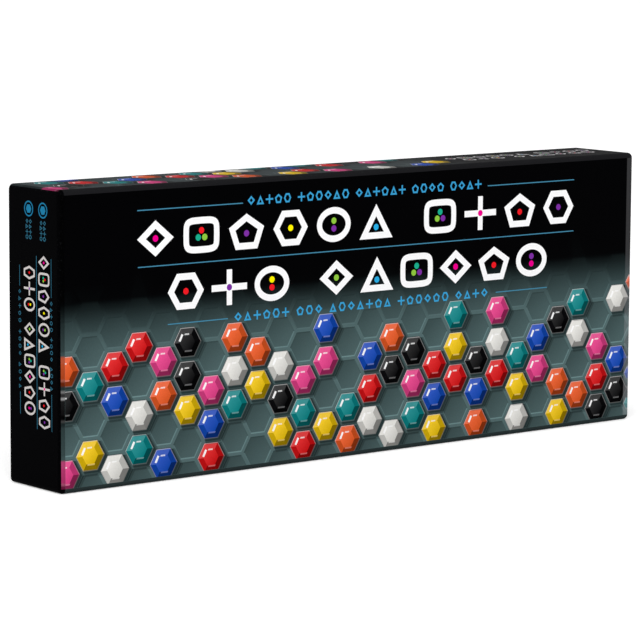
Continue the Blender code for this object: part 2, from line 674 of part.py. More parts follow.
def build_key_pegs():
    """Twelve key pegs, black and white in turn, in the key sockets of the filled rows."""
    materials = {name: new_material(name + "_key", colour, GLOSS) for name, colour in KEY_COLOURS.items()}
    order = list(KEY_COLOURS)
    names, places, chosen = [], [], []
    for row, number in enumerate(KEY_PEGS_IN_ROW):
        for socket in range(number):
            colour = order[len(names) % len(order)]
            names.append(f"{colour}_key_peg_{len(names) // len(order) + 1}")
            places.append((*key_place(row_x(ROWS - 1 - row), socket), PEG_SEAT_Z))
            chosen.append(materials[colour])
    profile = peg_profile(
        KEY_HEAD_DIAMETER, KEY_HEAD_HEIGHT, KEY_RIM_HEIGHT, KEY_STEM_DIAMETER, KEY_STEM_LENGTH
    )
    place_pegs(names, places, profile, KEY_SIDES, chosen)


clear_scene()
game = new_collection("Code breaking peg game")
helpers = new_collection("Cutters and additions")

upright = bpy.data.objects.new("box_stood_upright", None)
upright.rotation_euler = (math.radians(90), 0, 0)
upright.location = (0, BOX_DEPTH / 2, BOX_WIDTH / 2)
game.objects.link(upright)

build_base()
build_leaflet()
build_insert()
build_board()
build_shield()
build_code_pegs()
build_key_pegs()
build_lid()
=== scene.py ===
"""A boxed code breaking peg game, closed and standing on one long side.

The box is rigid board wrapped in printed paper with a matt film. Inside lie the base, the rules, a
formed insert, the moulded game board with its hinged shield, and the pegs. Sizes are in millimetres
until a mesh is made.
"""

import sys

import enum
import itertools
import logging
import math
from dataclasses import dataclass, field, replace
from typing import Any, Sequence

import bpy
import numpy as np
from mathutils import Matrix, Vector
from mathutils.geometry import delaunay_2d_cdt


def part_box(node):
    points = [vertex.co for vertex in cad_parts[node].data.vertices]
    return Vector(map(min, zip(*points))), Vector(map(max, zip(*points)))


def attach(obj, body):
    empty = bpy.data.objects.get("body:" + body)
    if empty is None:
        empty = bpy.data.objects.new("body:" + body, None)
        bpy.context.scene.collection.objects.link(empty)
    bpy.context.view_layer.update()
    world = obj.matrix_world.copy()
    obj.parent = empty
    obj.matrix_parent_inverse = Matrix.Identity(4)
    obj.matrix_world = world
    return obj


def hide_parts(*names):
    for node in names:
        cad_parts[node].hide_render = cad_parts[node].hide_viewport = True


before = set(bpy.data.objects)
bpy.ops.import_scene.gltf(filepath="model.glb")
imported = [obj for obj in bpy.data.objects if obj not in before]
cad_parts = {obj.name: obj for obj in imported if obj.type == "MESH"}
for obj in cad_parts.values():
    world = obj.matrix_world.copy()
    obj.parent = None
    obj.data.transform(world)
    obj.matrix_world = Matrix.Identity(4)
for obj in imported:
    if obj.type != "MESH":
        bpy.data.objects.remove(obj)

MM = 0.001
LOG = logging.getLogger("peg_game")
# Corners of an upright square about the middle, and the axis of an ink that is even all over.
SQUARE = np.array([[-1, -1], [1, -1], [1, 1], [-1, 1]])
LEVEL = np.array([[0.0, 0.0], [1.0, 0.0]])
# Smooth shading breaks where two faces meet at more than this.
SHARP_ANGLE = math.radians(50)
Tree = bpy.types.NodeTree
Socket = bpy.types.NodeSocket
Inputs = dict[str | int, Any]
Array = np.ndarray


def linear(hex_colour: str) -> tuple[float, ...]:
    """Turn an sRGB hex colour into linear red, green and blue, and an alpha of 1.

    Args:
        hex_colour: six hex digits with a leading #.

    Returns:
        The four numbers.
    """
    parts = np.array([int(hex_colour[i : i + 2], 16) for i in (1, 3, 5)]) / 255.0
    light = np.where(parts <= 0.04045, parts / 12.92, ((parts + 0.055) / 1.055) ** 2.4)
    return (*light.tolist(), 1.0)


def tone(hex_colour: str, factor: float, lift: float = 0.0) -> tuple[float, ...]:
    """Return an sRGB hex colour in linear light, times a factor and raised by a lift."""
    return (*(min(1.0, factor * part + lift) for part in linear(hex_colour)[:3]), 1.0)


def cleared(owner: bpy.types.Material | bpy.types.World) -> Tree:
    """Switch an owner's nodes on.

    Args:
        owner: the material or the world.

    Returns:
        Its node tree, emptied.
    """
    owner.use_nodes = True
    owner.node_tree.nodes.clear()
    return owner.node_tree


def add_node(tree: Tree, kind: str, inputs: Inputs | None = None, **settings: Any) -> bpy.types.Node:
    """Add one node with its settings and links.

    Args:
        tree: the node tree that gets the node.
        kind: the node's type name without ShaderNode.
        inputs: values or output sockets by the input's name or number.
        settings: properties of the node by name.

    Returns:
        The new node.
    """
    node = tree.nodes.new(f"ShaderNode{kind}")
    for name, value in settings.items():
        setattr(node, name, value)
    for key, value in (inputs or {}).items():
        if isinstance(value, Socket):
            tree.links.new(value, node.inputs[key])
        else:
            node.inputs[key].default_value = value
    return node


def even_turns(count: int) -> Array:
    """Return the even turns of a full circle, in radians."""
    return np.arange(count) * 2 * math.pi / count


def directions(turn: Array) -> Array:
    """Return the (n, 2) directions at some turns: their cosines and sines."""
    return np.stack([np.cos(turn), np.sin(turn)], 1)


def disc(diameter: float, sides: int) -> Array:
    """Return the corners of a round spot about the middle."""
    return diameter / 2 * directions(even_turns(sides))


def band(outer: Array, inner: Array) -> Array:
    """Return the band between two loops of equally many corners, as one quad a side."""
    return np.stack([outer, np.roll(outer, -1, 0), np.roll(inner, -1, 0), inner], 1)


def quads(number: Array) -> Array:
    """Return the four-sided faces between the neighbours in a grid of point numbers."""
    cells = [number[:-1, :-1], number[1:, :-1], number[1:, 1:], number[:-1, 1:]]
    return np.stack(cells, -1).reshape(-1, 4)


def normals(points: Array, faces: Array) -> Array:
    """Return the normals of triangles: the cross products of the two sides at their first corners."""
    first, second, third = points[faces].transpose(1, 0, 2)
    return np.cross(second - first, third - first)


def moved_in(outline: Array, distance: float) -> Array:
    """Move every side of a convex polygon inwards. A new corner is where two moved sides meet.

    Args:
        outline: (n, 2) corners, counter-clockwise.
        distance: how far the sides move.

    Returns:
        The new corners.
    """
    side = np.roll(outline, -1, 0) - outline
    after = np.stack([-side[:, 1], side[:, 0]], 1) / np.linalg.norm(side, axis=1)[:, None]
    before = np.roll(after, 1, 0)
    reach = (after * outline).sum(1) + distance
    reach_before = (before * outline).sum(1) + distance
    turn = before[:, 0] * after[:, 1] - before[:, 1] * after[:, 0]
    across = (reach_before * after[:, 1] - reach * before[:, 1]) / turn
    high = (before[:, 0] * reach - after[:, 0] * reach_before) / turn
    return np.stack([across, high], 1)


def smooth_mesh(name: str, points: Array, faces: Sequence[Sequence[int]]) -> bpy.types.Mesh:
    """Make a mesh that is shaded smooth, apart from its sharp edges.

    Args:
        name: the mesh's name.
        points: (n, 3) places in metres.
        faces: the point numbers of each face.

    Returns:
        The mesh.
    """
    mesh = bpy.data.meshes.new(name)
    mesh.from_pydata(points, [], faces)
    mesh.polygons.foreach_set("use_smooth", np.ones(len(faces), bool))
    mesh.set_sharp_from_angle(angle=SHARP_ANGLE)
    mesh.update()
    return mesh


def add_piece(
    mesh: bpy.types.Mesh, material: bpy.types.Material, body: str, node: str | None = None
) -> bpy.types.Object:
    """Make a piece of a mesh, dress it and let it ride on its body.

    Args:
        mesh: the piece's mesh, which it shares its name with.
        material: its finish.
        body: the body that it rides on.
        node: the CAD node that it stands for, if there is one.

    Returns:
        The piece.
    """
    piece = bpy.data.objects.new(mesh.name, mesh)
    bpy.context.scene.collection.objects.link(piece)
    mesh.materials.append(material)
    if node:
        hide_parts(node)
    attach(piece, body)
    return piece


class Ink(enum.Enum):
    """Colours of the print and of the pegs."""

    WHITE = "#ECEBE6"
    PINK = "#EE4791"
    RED = "#E3171B"
    ORANGE = "#F2622A"
    YELLOW = "#F9CE10"
    TEAL = "#0E8E90"
    BLUE = "#1650C0"
    BLACK = "#0C0C0E"
    SIGN = "#FBFBFC"
    RULE = "#4486A4"
    MARK = "#399CCF"
    PURPLE = "#7B2FA0"
    MAGENTA = "#EC008C"
    CYAN = "#29ABE2"
    LEMON = "#FFF200"
    SCARLET = "#ED1C24"
    JADE = "#1BAA8A"
    LIME = "#8DC63F"
    GROUND = "#020203"
    # Painted highlights on the front's top fold, its right corners and beside its right fold, and painted
    # shade on its bottom fold.
    FOLD = "#1B1B1D"
    END_EDGE_HIGHLIGHT = "#29292C"
    LOW_EDGE_SHADE = "#2B3536"
    SHEEN = "#ACACB0"
    # The ends' sign, rule and mark inks are darker copies of the front's, a painted shade.
    SHADED_END_SIGN = "#CDC8C6"
    TOP_SIGN = "#B9B6B8"
    SHADED_END_RULE = "#2D657C"
    SHADED_END_MARK = "#207AA3"
    SLATE = "#536A6B"
    DUSK = "#363E40"
    NIGHT = "#0E0E10"
    LINING = "#B9B6AE"
    PAPER = "#E6E4DE"
    PRINT_GREY = "#8B8C8D"
    PRINT_DARK = "#303336"


Tint = Ink | Array
PEG_INKS = (Ink.WHITE, Ink.PINK, Ink.RED, Ink.ORANGE, Ink.YELLOW, Ink.TEAL, Ink.BLUE, Ink.BLACK)
DOT_INKS = (Ink.PURPLE, Ink.MAGENTA, Ink.CYAN, Ink.LEMON, Ink.SCARLET, Ink.JADE, Ink.LIME)


def rgb(tint: Tint) -> Array:
    """Return an ink, or a colour that is given by its numbers, as three linear numbers."""
    return np.array(linear(tint.value)[:3]) if isinstance(tint, Ink) else tint


@dataclass(frozen=True)
class Finish:
    """A finish: one shader over patterns that lie in the object's own space."""

    name: str

    def inputs(self, tree: Tree, place: Socket) -> Inputs:
        """Work out the shader's inputs, which each finish does in its own way.

        Args:
            tree: the material's node tree.
            place: the surface point's place.

        Returns:
            Values or output sockets by the input's name.
        """
        raise NotImplementedError

    def material(self) -> bpy.types.Material:
        """Build the finish.

        Returns:
            The material.
        """
        material = bpy.data.materials.new(self.name)
        tree = cleared(material)
        place = add_node(tree, "TexCoord").outputs["Object"]
        shader = add_node(tree, "BsdfPrincipled", self.inputs(tree, place))
        add_node(tree, "OutputMaterial", {"Surface": shader.outputs[0]})
        return material


@dataclass(frozen=True)
class OffsetPrint(Finish):
    """Offset print on paper. The box's is under a matt film: deep ink, almost no gloss, rubbed folds whose
    paler specks are partly a painted highlight.
    """

    name: str = "matt_filmed_print"
    roughness: float = 0.55
    specular: float = 0.005
    fibre_mm: float = 0.6
    rub_and_sheen_mm: float = 1.1
    rub_and_sheen_hex: str = "#6C6E72"

    def inputs(self, tree: Tree, place: Socket) -> Inputs:
        """Work out the shader's inputs from the place, the mesh's ink, and its rubbed specks, which are
        partly a painted highlight.

        Args:
            tree: the material's node tree.
            place: the surface point's place.

        Returns:
            Values or output sockets by the input's name.
        """
        ink = add_node(tree, "Attribute", attribute_name="ink").outputs["Color"]
        rub_and_sheen = add_node(tree, "Attribute", attribute_name="rub_and_sheen").outputs["Fac"]
        # The paper's fibres show through the film as a faint mottle, a little coarser than real ones.
        noise = {"Vector": place, "Scale": 1000 / self.fibre_mm, "Detail": 3.0}
        fibre = add_node(tree, "TexNoise", noise).outputs["Fac"]
        mottle = {"Value": fibre, "From Min": 0.3, "From Max": 0.7}
        shade = add_node(tree, "MapRange", {**mottle, "To Min": 0.96, "To Max": 1.03}).outputs[0]
        toned = add_node(tree, "VectorMath", {0: ink, "Scale": shade}, operation="SCALE").outputs[0]
        # Handling wears small specks of ink off where the paper folds over an edge. The paler specks
        # are also a painted highlight along the folds.
        noise = {"Vector": place, "Scale": 1000 / self.rub_and_sheen_mm, "Detail": 4.0, "Roughness": 0.7}
        specks = add_node(tree, "TexNoise", noise).outputs["Fac"]
        bare = {"Value": specks, "From Min": 0.56, "From Max": 0.72, "To Min": 0.0, "To Max": 0.05}
        worn_and_sheen = add_node(tree, "MapRange", bare).outputs[0]
        amount = add_node(tree, "Math", {0: worn_and_sheen, 1: rub_and_sheen}, operation="MULTIPLY").outputs[0]
        layers = {0: amount, 6: toned, 7: linear(self.rub_and_sheen_hex)}
        gloss = {**mottle, "To Min": self.roughness - 0.04, "To Max": self.roughness + 0.05}
        relief = {"Strength": 0.08, "Distance": 0.05 * MM, "Height": fibre}
        return {
            "Base Color": add_node(tree, "Mix", layers, data_type="RGBA").outputs[2],
            "Roughness": add_node(tree, "MapRange", gloss).outputs[0],
            "Specular IOR Level": self.specular,
            "Normal": add_node(tree, "Bump", relief).outputs[0],
        }


@dataclass(frozen=True)
class WrappedBoard(Finish):
    """Greyboard wrapped in uncoated paper: dull, with short fibres and a soft mottle.

    The tray is lined inside with pale paper, which starts where the dark wrapping's turn-in ends.
    """

    colour_hex: str
    lined: tuple[Vector, Vector]
    roughness: float = 0.75
    specular: float = 0.08
    fibre_mm: float = 0.9

    def mottled(self, tree: Tree, colour_hex: str, fibre: Socket) -> Socket:
        """Return a colour that the fibres make a little darker and lighter."""
        mix = {0: fibre, 6: tone(colour_hex, 0.8), 7: tone(colour_hex, 1.15, 0.001)}
        return add_node(tree, "Mix", mix, data_type="RGBA").outputs[2]

    def within(self, tree: Tree, place: Socket) -> Socket:
        """Tell whether a place is in the lined space: no axis is further from its middle than half its size.

        Args:
            tree: the material's node tree.
            place: the surface point's place.

        Returns:
            1 inside and 0 outside.
        """
        middle, half = (self.lined[0] + self.lined[1]) / 2, (self.lined[1] - self.lined[0]) / 2
        shares = place
        for operation, other in (("SUBTRACT", {1: middle}), ("ABSOLUTE", {}), ("DIVIDE", {1: half})):
            shares = add_node(tree, "VectorMath", {0: shares, **other}, operation=operation).outputs[0]
        most, *others = add_node(tree, "SeparateXYZ", {0: shares}).outputs
        for share in others:
            most = add_node(tree, "Math", {0: most, 1: share}, operation="MAXIMUM").outputs[0]
        return add_node(tree, "Math", {0: most, 1: 1.0}, operation="LESS_THAN").outputs[0]

    def inputs(self, tree: Tree, place: Socket) -> Inputs:
        """Work out the shader's inputs: the wrapping's colour, and the lining's in its space.

        Args:
            tree: the material's node tree.
            place: the surface point's place.

        Returns:
            Values or output sockets by the input's name.
        """
        noise = {"Vector": place, "Scale": 1000 / self.fibre_mm, "Detail": 5.0, "Roughness": 0.65}
        fibre = add_node(tree, "TexNoise", noise).outputs["Fac"]
        wrapping = self.mottled(tree, self.colour_hex, fibre)
        layers = {0: self.within(tree, place), 6: wrapping, 7: self.mottled(tree, Ink.LINING.value, fibre)}
        relief = {"Strength": 0.25, "Distance": 0.06 * MM, "Height": fibre}
        return {
            "Base Color": add_node(tree, "Mix", layers, data_type="RGBA").outputs[2],
            "Roughness": self.roughness,
            "Specular IOR Level": self.specular,
            "Normal": add_node(tree, "Bump", relief).outputs[0],
        }


@dataclass(frozen=True)
class MouldedPlastic(Finish):
    """Injection moulded or formed plastic: even colour, a fine spark texture, soft flow clouds."""

    colour_hex: str
    roughness: float
    grain_mm: float
    grain_strength: float
    cloud_mm: float = 30.0
    ior: float = 1.52

    def inputs(self, tree: Tree, place: Socket) -> Inputs:
        """Work out the shader's inputs: the clouds tint the colour, and the grain sets gloss and relief.

        Args:
            tree: the material's node tree.
            place: the surface point's place.

        Returns:
            Values or output sockets by the input's name.
        """
        grain, cloud = (
            add_node(tree, "TexNoise", {"Vector": place, "Scale": 1000 / size, "Detail": 2.0}).outputs["Fac"]
            for size in (self.grain_mm, self.cloud_mm)
        )
        tint = {0: cloud, 6: tone(self.colour_hex, 0.9), 7: tone(self.colour_hex, 1.08)}
        low, high = max(0.02, self.roughness - 0.04), self.roughness + 0.05
        gloss = {"Value": grain, "From Min": 0.3, "From Max": 0.7, "To Min": low, "To Max": high}
        relief = {"Strength": self.grain_strength, "Distance": 0.05 * MM, "Height": grain}
        return {
            "Base Color": add_node(tree, "Mix", tint, data_type="RGBA").outputs[2],
            "Roughness": add_node(tree, "MapRange", gloss).outputs[0],
            "IOR": self.ior,
            "Normal": add_node(tree, "Bump", relief).outputs[0],
        }


# The board's mould is spark eroded, which leaves a fine grain and a half gloss. The shield's mould is
# polished, so it shows the lamp clearly. The insert's sheet is drawn over its mould by heat and a
# vacuum, and keeps a soft sheen.
BOARD_PLASTIC = MouldedPlastic("slate_spark_textured_abs", "#54686B", 0.42, 0.5, 0.35)
SHIELD_PLASTIC = MouldedPlastic("dark_slate_polished_abs", "#3C4B4E", 0.18, 1.2, 0.05)
INSERT_PLASTIC = MouldedPlastic("black_thermoformed_styrene", "#1B1B1D", 0.34, 0.8, 0.25, 18.0)


@dataclass
class Patchwork:
    """Surface patches collected as triangles, welded into one closed mesh at the end."""

    parts: list[tuple[Array, ...]] = field(default_factory=list)
    count: int = 0

    def add(
        self, points: Array, faces: Array, inks: Array, rub_and_sheen: float | Array = 0.0, rounded: bool = False
    ) -> None:
        """Add triangles with a colour at each corner.

        Args:
            points: (n, 3) places in millimetres.
            faces: (m, 3) point numbers, counter-clockwise seen from outside.
            inks: (m, 3, 3) linear colours, or one colour for all.
            rub_and_sheen: how much the edge is rubbed, partly as a painted highlight, one value or (m, 3).
            rounded: true for patches that are shaded smooth.
        """
        inks = np.broadcast_to(inks, (len(faces), 3, 3))
        rubs_and_sheen = np.broadcast_to(rub_and_sheen, (len(faces), 3))
        self.parts.append((points, faces + self.count, inks, rubs_and_sheen, np.full(len(faces), rounded)))
        self.count += len(points)

    def add_grid(
        self, points: Array, inks: Array, outward: Array, rub_and_sheen: float | Array = 0.0, rounded: bool = True
    ) -> None:
        """Add a grid of points as triangles.

        Each cell between rows i, i + 1 and columns j, j + 1 becomes two triangles. They are turned
        round where their normal points against the outward directions.

        Args:
            points: (rows, columns, 3) places in millimetres.
            inks: (rows - 1, columns, 3) colours of the cells' sides, or one colour.
            outward: (3,) direction, or (rows, columns, 3) directions, that point out of the solid.
            rub_and_sheen: (rows, columns) values of rubbing, partly a painted highlight, or what fills them
                out.
            rounded: true for a grid that is shaded smooth.
        """
        rows, columns = points.shape[:2]
        cells = quads(np.arange(rows * columns).reshape(rows, columns))
        faces = np.concatenate([cells[:, [0, 3, 2]], cells[:, [0, 2, 1]]])
        sides = np.broadcast_to(inks, (rows - 1, columns, 3))
        left, right = sides[:, :-1].reshape(-1, 3), sides[:, 1:].reshape(-1, 3)
        inks = np.concatenate([np.stack([left, right, right], 1), np.stack([left, right, left], 1)])
        rubs_and_sheen = np.broadcast_to(rub_and_sheen, (rows, columns)).ravel()[faces]
        flat = points.reshape(-1, 3)
        out = np.broadcast_to(outward, points.shape).reshape(-1, 3)[faces[:, 0]]
        turned = (normals(flat, faces) * out).sum(1) < 0
        for values in (faces, inks, rubs_and_sheen):
            values[turned] = values[turned][:, ::-1]
        self.add(flat, faces, inks, rubs_and_sheen, rounded)

    def mesh(self, name: str, origin: Vector) -> bpy.types.Mesh:
        """Weld the patches and make the mesh.

        Points that lie within a thousandth of a millimetre become one, and triangles that lose a
        corner by it are dropped.

        Args:
            name: the mesh's name.
            origin: place of the patches' own origin, in metres.

        Returns:
            The mesh, with the attributes ink and rub_and_sheen, whose rubbing is partly a painted highlight.
        """
        points, faces, inks, rubs_and_sheen, rounds = (np.concatenate(part) for part in zip(*self.parts))
        key = np.round(points * 1000).astype(np.int64)
        _, first, where = np.unique(key, axis=0, return_index=True, return_inverse=True)
        faces = where.reshape(-1)[faces]
        whole = (faces != np.roll(faces, 1, 1)).all(1)
        faces, inks, rubs_and_sheen, rounds = faces[whole], inks[whole], rubs_and_sheen[whole], rounds[whole]
        mesh = bpy.data.meshes.new(name)
        mesh.from_pydata(points[first] * MM + np.array(origin), [], faces)
        mesh.polygons.foreach_set("use_smooth", rounds)
        colours = np.insert(inks.reshape(-1, 3), 3, 1.0, axis=1).astype(np.float32)
        mesh.color_attributes.new("ink", "FLOAT_COLOR", "CORNER").data.foreach_set("color", colours.ravel())
        values = rubs_and_sheen.astype(np.float32).ravel()
        mesh.attributes.new("rub_and_sheen", "FLOAT", "CORNER").data.foreach_set("value", values)
        mesh.update()
        return mesh


@dataclass
class Print:
    """Artwork of one flat panel: polygons laid over each other, as inks on paper.

    The bare ground fades along one axis from one colour to the other, in an S curve.
    """

    low: Array
    high: Array
    ground_low: Array
    ground_high: Array
    fade: tuple[float, float] = (0.0, 1.0)
    fade_axis: int = 1
    fade_step: float = 3.0
    outlines: list[Array] = field(default_factory=list)
    inks: list[Array] = field(default_factory=list)
    axes: list[Array] = field(default_factory=list)
    skin: float = 0.05

    def lay(
        self,
        outline: Array,
        ink: Tint,
        alpha: float | tuple[float, float] = 1.0,
        to: Tint | None = None,
        axis: Array = LEVEL,
    ) -> None:
        """Lay one convex polygon over what is there.

        The ink runs in a straight line from its first colour to its second one, between the two
        ends of the axis. The polygon is cut at the panel's border.

        Args:
            outline: (n, 2) corners in millimetres.
            ink: the colour, or the colour at the axis's start.
            alpha: how much it covers, or that at the axis's two ends.
            to: the colour at the axis's end.
            axis: (2, 2) the two ends.
        """
        area = np.cross(outline, np.roll(outline, -1, 0)).sum()
        clipped = self.clip(outline if area > 0 else outline[::-1])
        if not len(clipped):
            return
        first, last = alpha if isinstance(alpha, tuple) else (alpha, alpha)
        self.outlines.append(clipped)
        self.inks.append(np.array([[*rgb(ink), first], [*rgb(ink if to is None else to), last]]))
        self.axes.append(axis)

    def clip(self, outline: Array) -> Array:
        """Cut a convex polygon at the panel's border, one side after another.

        Args:
            outline: (n, 2) corners, counter-clockwise.

        Returns:
            The corners that are left, which may be none.
        """
        for axis, (sign, end) in itertools.product((0, 1), ((1.0, self.low), (-1.0, self.high))):
            height = sign * outline[:, axis] - (sign * end[axis] + self.skin)
            after, next_height = np.roll(outline, -1, 0), np.roll(height, -1)
            inside, crossing = height >= 0, (height >= 0) != (next_height >= 0)
            share = np.where(crossing, height / np.where(crossing, height - next_height, 1.0), 0.0)
            both = np.stack([outline, outline + share[:, None] * (after - outline)], 1).reshape(-1, 2)
            outline = both[np.stack([inside, crossing], 1).ravel()]
        return outline

    def bar(
        self,
        centre: Sequence[float],
        size: Sequence[float],
        ink: Tint,
        alpha: float | tuple[float, float] = 1.0,
        axis: Array = LEVEL,
    ) -> None:
        """Lay an upright rectangle of the given centre and size, as lay does."""
        self.lay(np.array(centre) + np.array(size) / 2 * SQUARE, ink, alpha, axis=axis)

    def ground(self, points: Array) -> Array:
        """Work out the colour of the bare ground: a share t of the way along the fade gives 3 t^2 - 2 t^3.

        Args:
            points: (..., 2) places.

        Returns:
            (..., 3) linear colours.
        """
        share = (points[..., self.fade_axis] - self.fade[0]) / (self.fade[1] - self.fade[0])
        share = np.clip(share, 0.0, 1.0)
        share = (share * share * (3 - 2 * share))[..., None]
        return self.ground_low * (1 - share) + self.ground_high * share

    def over(
        self, colours: Array, points: Array, inks: Array, axes: Array, covered: Array | bool = True
    ) -> Array:
        """Lay inks over colours at given points, each at its share of the way along its axis.

        Args:
            colours: (n, k, 3) colours so far.
            points: (n, k, 2) places.
            inks: (n, 2, 4) first and last colour and cover, or the same for all rows.
            axes: (n, 2, 2) the axis's two ends.
            covered: (n,) false where nothing is laid.

        Returns:
            The new colours.
        """
        start, along = axes[:, 0][:, None], (axes[:, 1] - axes[:, 0])[:, None]
        share = ((points - start) * along).sum(-1) / (along * along).sum(-1)
        share = np.clip(share, 0.0, 1.0)[..., None]
        ink = inks[:, 0][:, None] * (1 - share) + inks[:, 1][:, None] * share
        cover = ink[..., 3:] * np.broadcast_to(covered, len(colours))[:, None, None]
        return colours * (1 - cover) + ink[..., :3] * cover

    def colours_at(self, points: Array) -> Array:
        """Colours of the finished print at some places.

        Args:
            points: (n, 2) places.

        Returns:
            (n, 3) linear colours.
        """
        colours = self.ground(points)
        for outline, inks, axes in zip(self.outlines, self.inks, self.axes):
            near = np.flatnonzero(((points >= outline.min(0)) & (points <= outline.max(0))).all(1))
            side = np.roll(outline, -1, 0) - outline
            reach = points[near][:, None] - outline[None]
            inside = near[(side[None, :, 0] * reach[..., 1] - side[None, :, 1] * reach[..., 0] >= 0).all(1)]
            laid = self.over(colours[inside][:, None], points[inside][:, None], inks[None], axes[None])
            colours[inside] = laid[:, 0]
        return colours

    def fade_lines(self) -> Array:
        """Work out the lines across the fade that cut the ground into even strips.

        Returns:
            (2 n, 2) ends, two a line.
        """
        if (self.ground_low == self.ground_high).all():
            return np.zeros((0, 2))
        axis = self.fade_axis
        steps = np.arange(*self.fade, self.fade_step)
        steps = steps[(steps > self.low[axis] + 1) & (steps < self.high[axis] - 1)]
        reach = np.array([self.low[1 - axis] + self.skin, self.high[1 - axis] - self.skin])
        lines = np.stack([np.tile(reach, len(steps)), np.repeat(steps, 2)], 1)
        return lines if axis == 1 else lines[:, ::-1]

    def partition(self, marks_u: Array, marks_v: Array) -> tuple[Array, Array, Array]:
        """Cut the panel along all its shapes and colour the pieces.

        The border's points keep their exact places, so that the next patch welds to them.

        Args:
            marks_u: border marks along the first axis.
            marks_v: border marks along the second axis.

        Returns:
            (n, 2) points, (m, 3) triangles and (m, 3, 3) colours of their corners.
        """
        sides = (
            (marks_u[:-1], marks_v[:1]),
            (marks_u[-1:], marks_v[:-1]),
            (marks_u[:0:-1], marks_v[-1:]),
            (marks_u[:1], marks_v[:0:-1]),
        )
        border = np.concatenate([np.stack(np.broadcast_arrays(*side), 1) for side in sides])
        outlines = [border, *self.outlines]
        ends = np.cumsum([len(outline) for outline in outlines])
        faces = [list(range(end - len(outline), end)) for end, outline in zip(ends, outlines)]
        lines = self.fade_lines()
        edges = (np.arange(len(lines)).reshape(-1, 2) + ends[-1]).tolist()
        corners = np.concatenate([*outlines, lines])
        points, _, triangles, origins, _, sources = delaunay_2d_cdt(
            [Vector(corner) for corner in corners], edges, faces, 1, 1e-4, True
        )
        points = np.array([tuple(point) for point in points])
        kept = [number for number, origin in enumerate(origins) if origin and origin[0] < len(border)]
        points[kept] = corners[[origins[number][0] for number in kept]]
        triangles = np.array(triangles)
        depth = max(len(source) for source in sources)
        stack = np.array([sorted(source) + [0] * (depth - len(source)) for source in sources]) - 1
        places = points[triangles]
        colours = self.ground(places)
        if self.inks:
            inks, axes = np.array(self.inks), np.array(self.axes)
            for numbers in stack.T:
                colours = self.over(colours, places, inks[numbers], axes[numbers], numbers >= 0)
        return points, triangles, colours


class Sign(enum.Enum):
    """Plain geometric signs: number of corners, first one's turn in degrees, squareness, and dots."""

    TABLET = (44, 0.0, 0.5, 3)
    DIAMOND = (4, 0.0, 1.0, 1)
    TRIANGLE = (3, 90.0, 1.0, 1)
    HEXAGON = (6, 0.0, 1.0, 1)
    PENTAGON = (5, 90.0, 1.0, 1)
    CIRCLE = (40, 0.0, 1.0, 2)
    CROSS = (0, 0.0, 1.0, 1)

    def outline(self, width: float, height: float) -> Array:
        """Work out the sign's outer loop.

        A corner lies at the cosine and the sine of its turn, both raised to the squareness, and the
        loop is then stretched to the width and the height.

        Args:
            width: the sign's width.
            height: its height.

        Returns:
            (n, 2) corners, counter-clockwise about the middle.
        """
        sides, turn, squareness, _ = self.value
        ring = directions(np.radians(turn + np.arange(sides) * 360 / sides))
        ring = np.sign(ring) * np.abs(ring) ** squareness
        low, high = ring.min(0), ring.max(0)
        return (ring - (low + high) / 2) / (high - low) * np.array([width, height])

    def spots(self, dot: float) -> Array:
        """Place the sign's dots: one in the middle, or a few in an even ring 1.2 dots apart.

        Args:
            dot: a dot's width.

        Returns:
            (n, 2) places about the middle.
        """
        *_, count = self.value
        ring = 0.0 if count == 1 else 0.6 * dot / math.sin(math.pi / count)
        return ring * directions(math.pi / 2 + even_turns(count))


class Run(enum.Enum):
    """Ways that a line of signs runs: its own unit direction, and that of the signs' tops."""

    ACROSS = ((1.0, 0.0), (0.0, 1.0))
    DOWN = ((0.0, -1.0), (-1.0, 0.0))


TITLE_SIGNS = tuple(
    Sign[name]
    for name in "DIAMOND TABLET PENTAGON HEXAGON CIRCLE TRIANGLE TABLET CROSS PENTAGON HEXAGON".split()
)
SECOND_SIGNS = tuple(
    Sign[name] for name in "HEXAGON CROSS CIRCLE DIAMOND TRIANGLE TABLET DIAMOND PENTAGON CIRCLE".split()
)
MARK_SIGNS = (Sign.DIAMOND, Sign.CROSS, Sign.HEXAGON, Sign.TRIANGLE, Sign.PENTAGON)


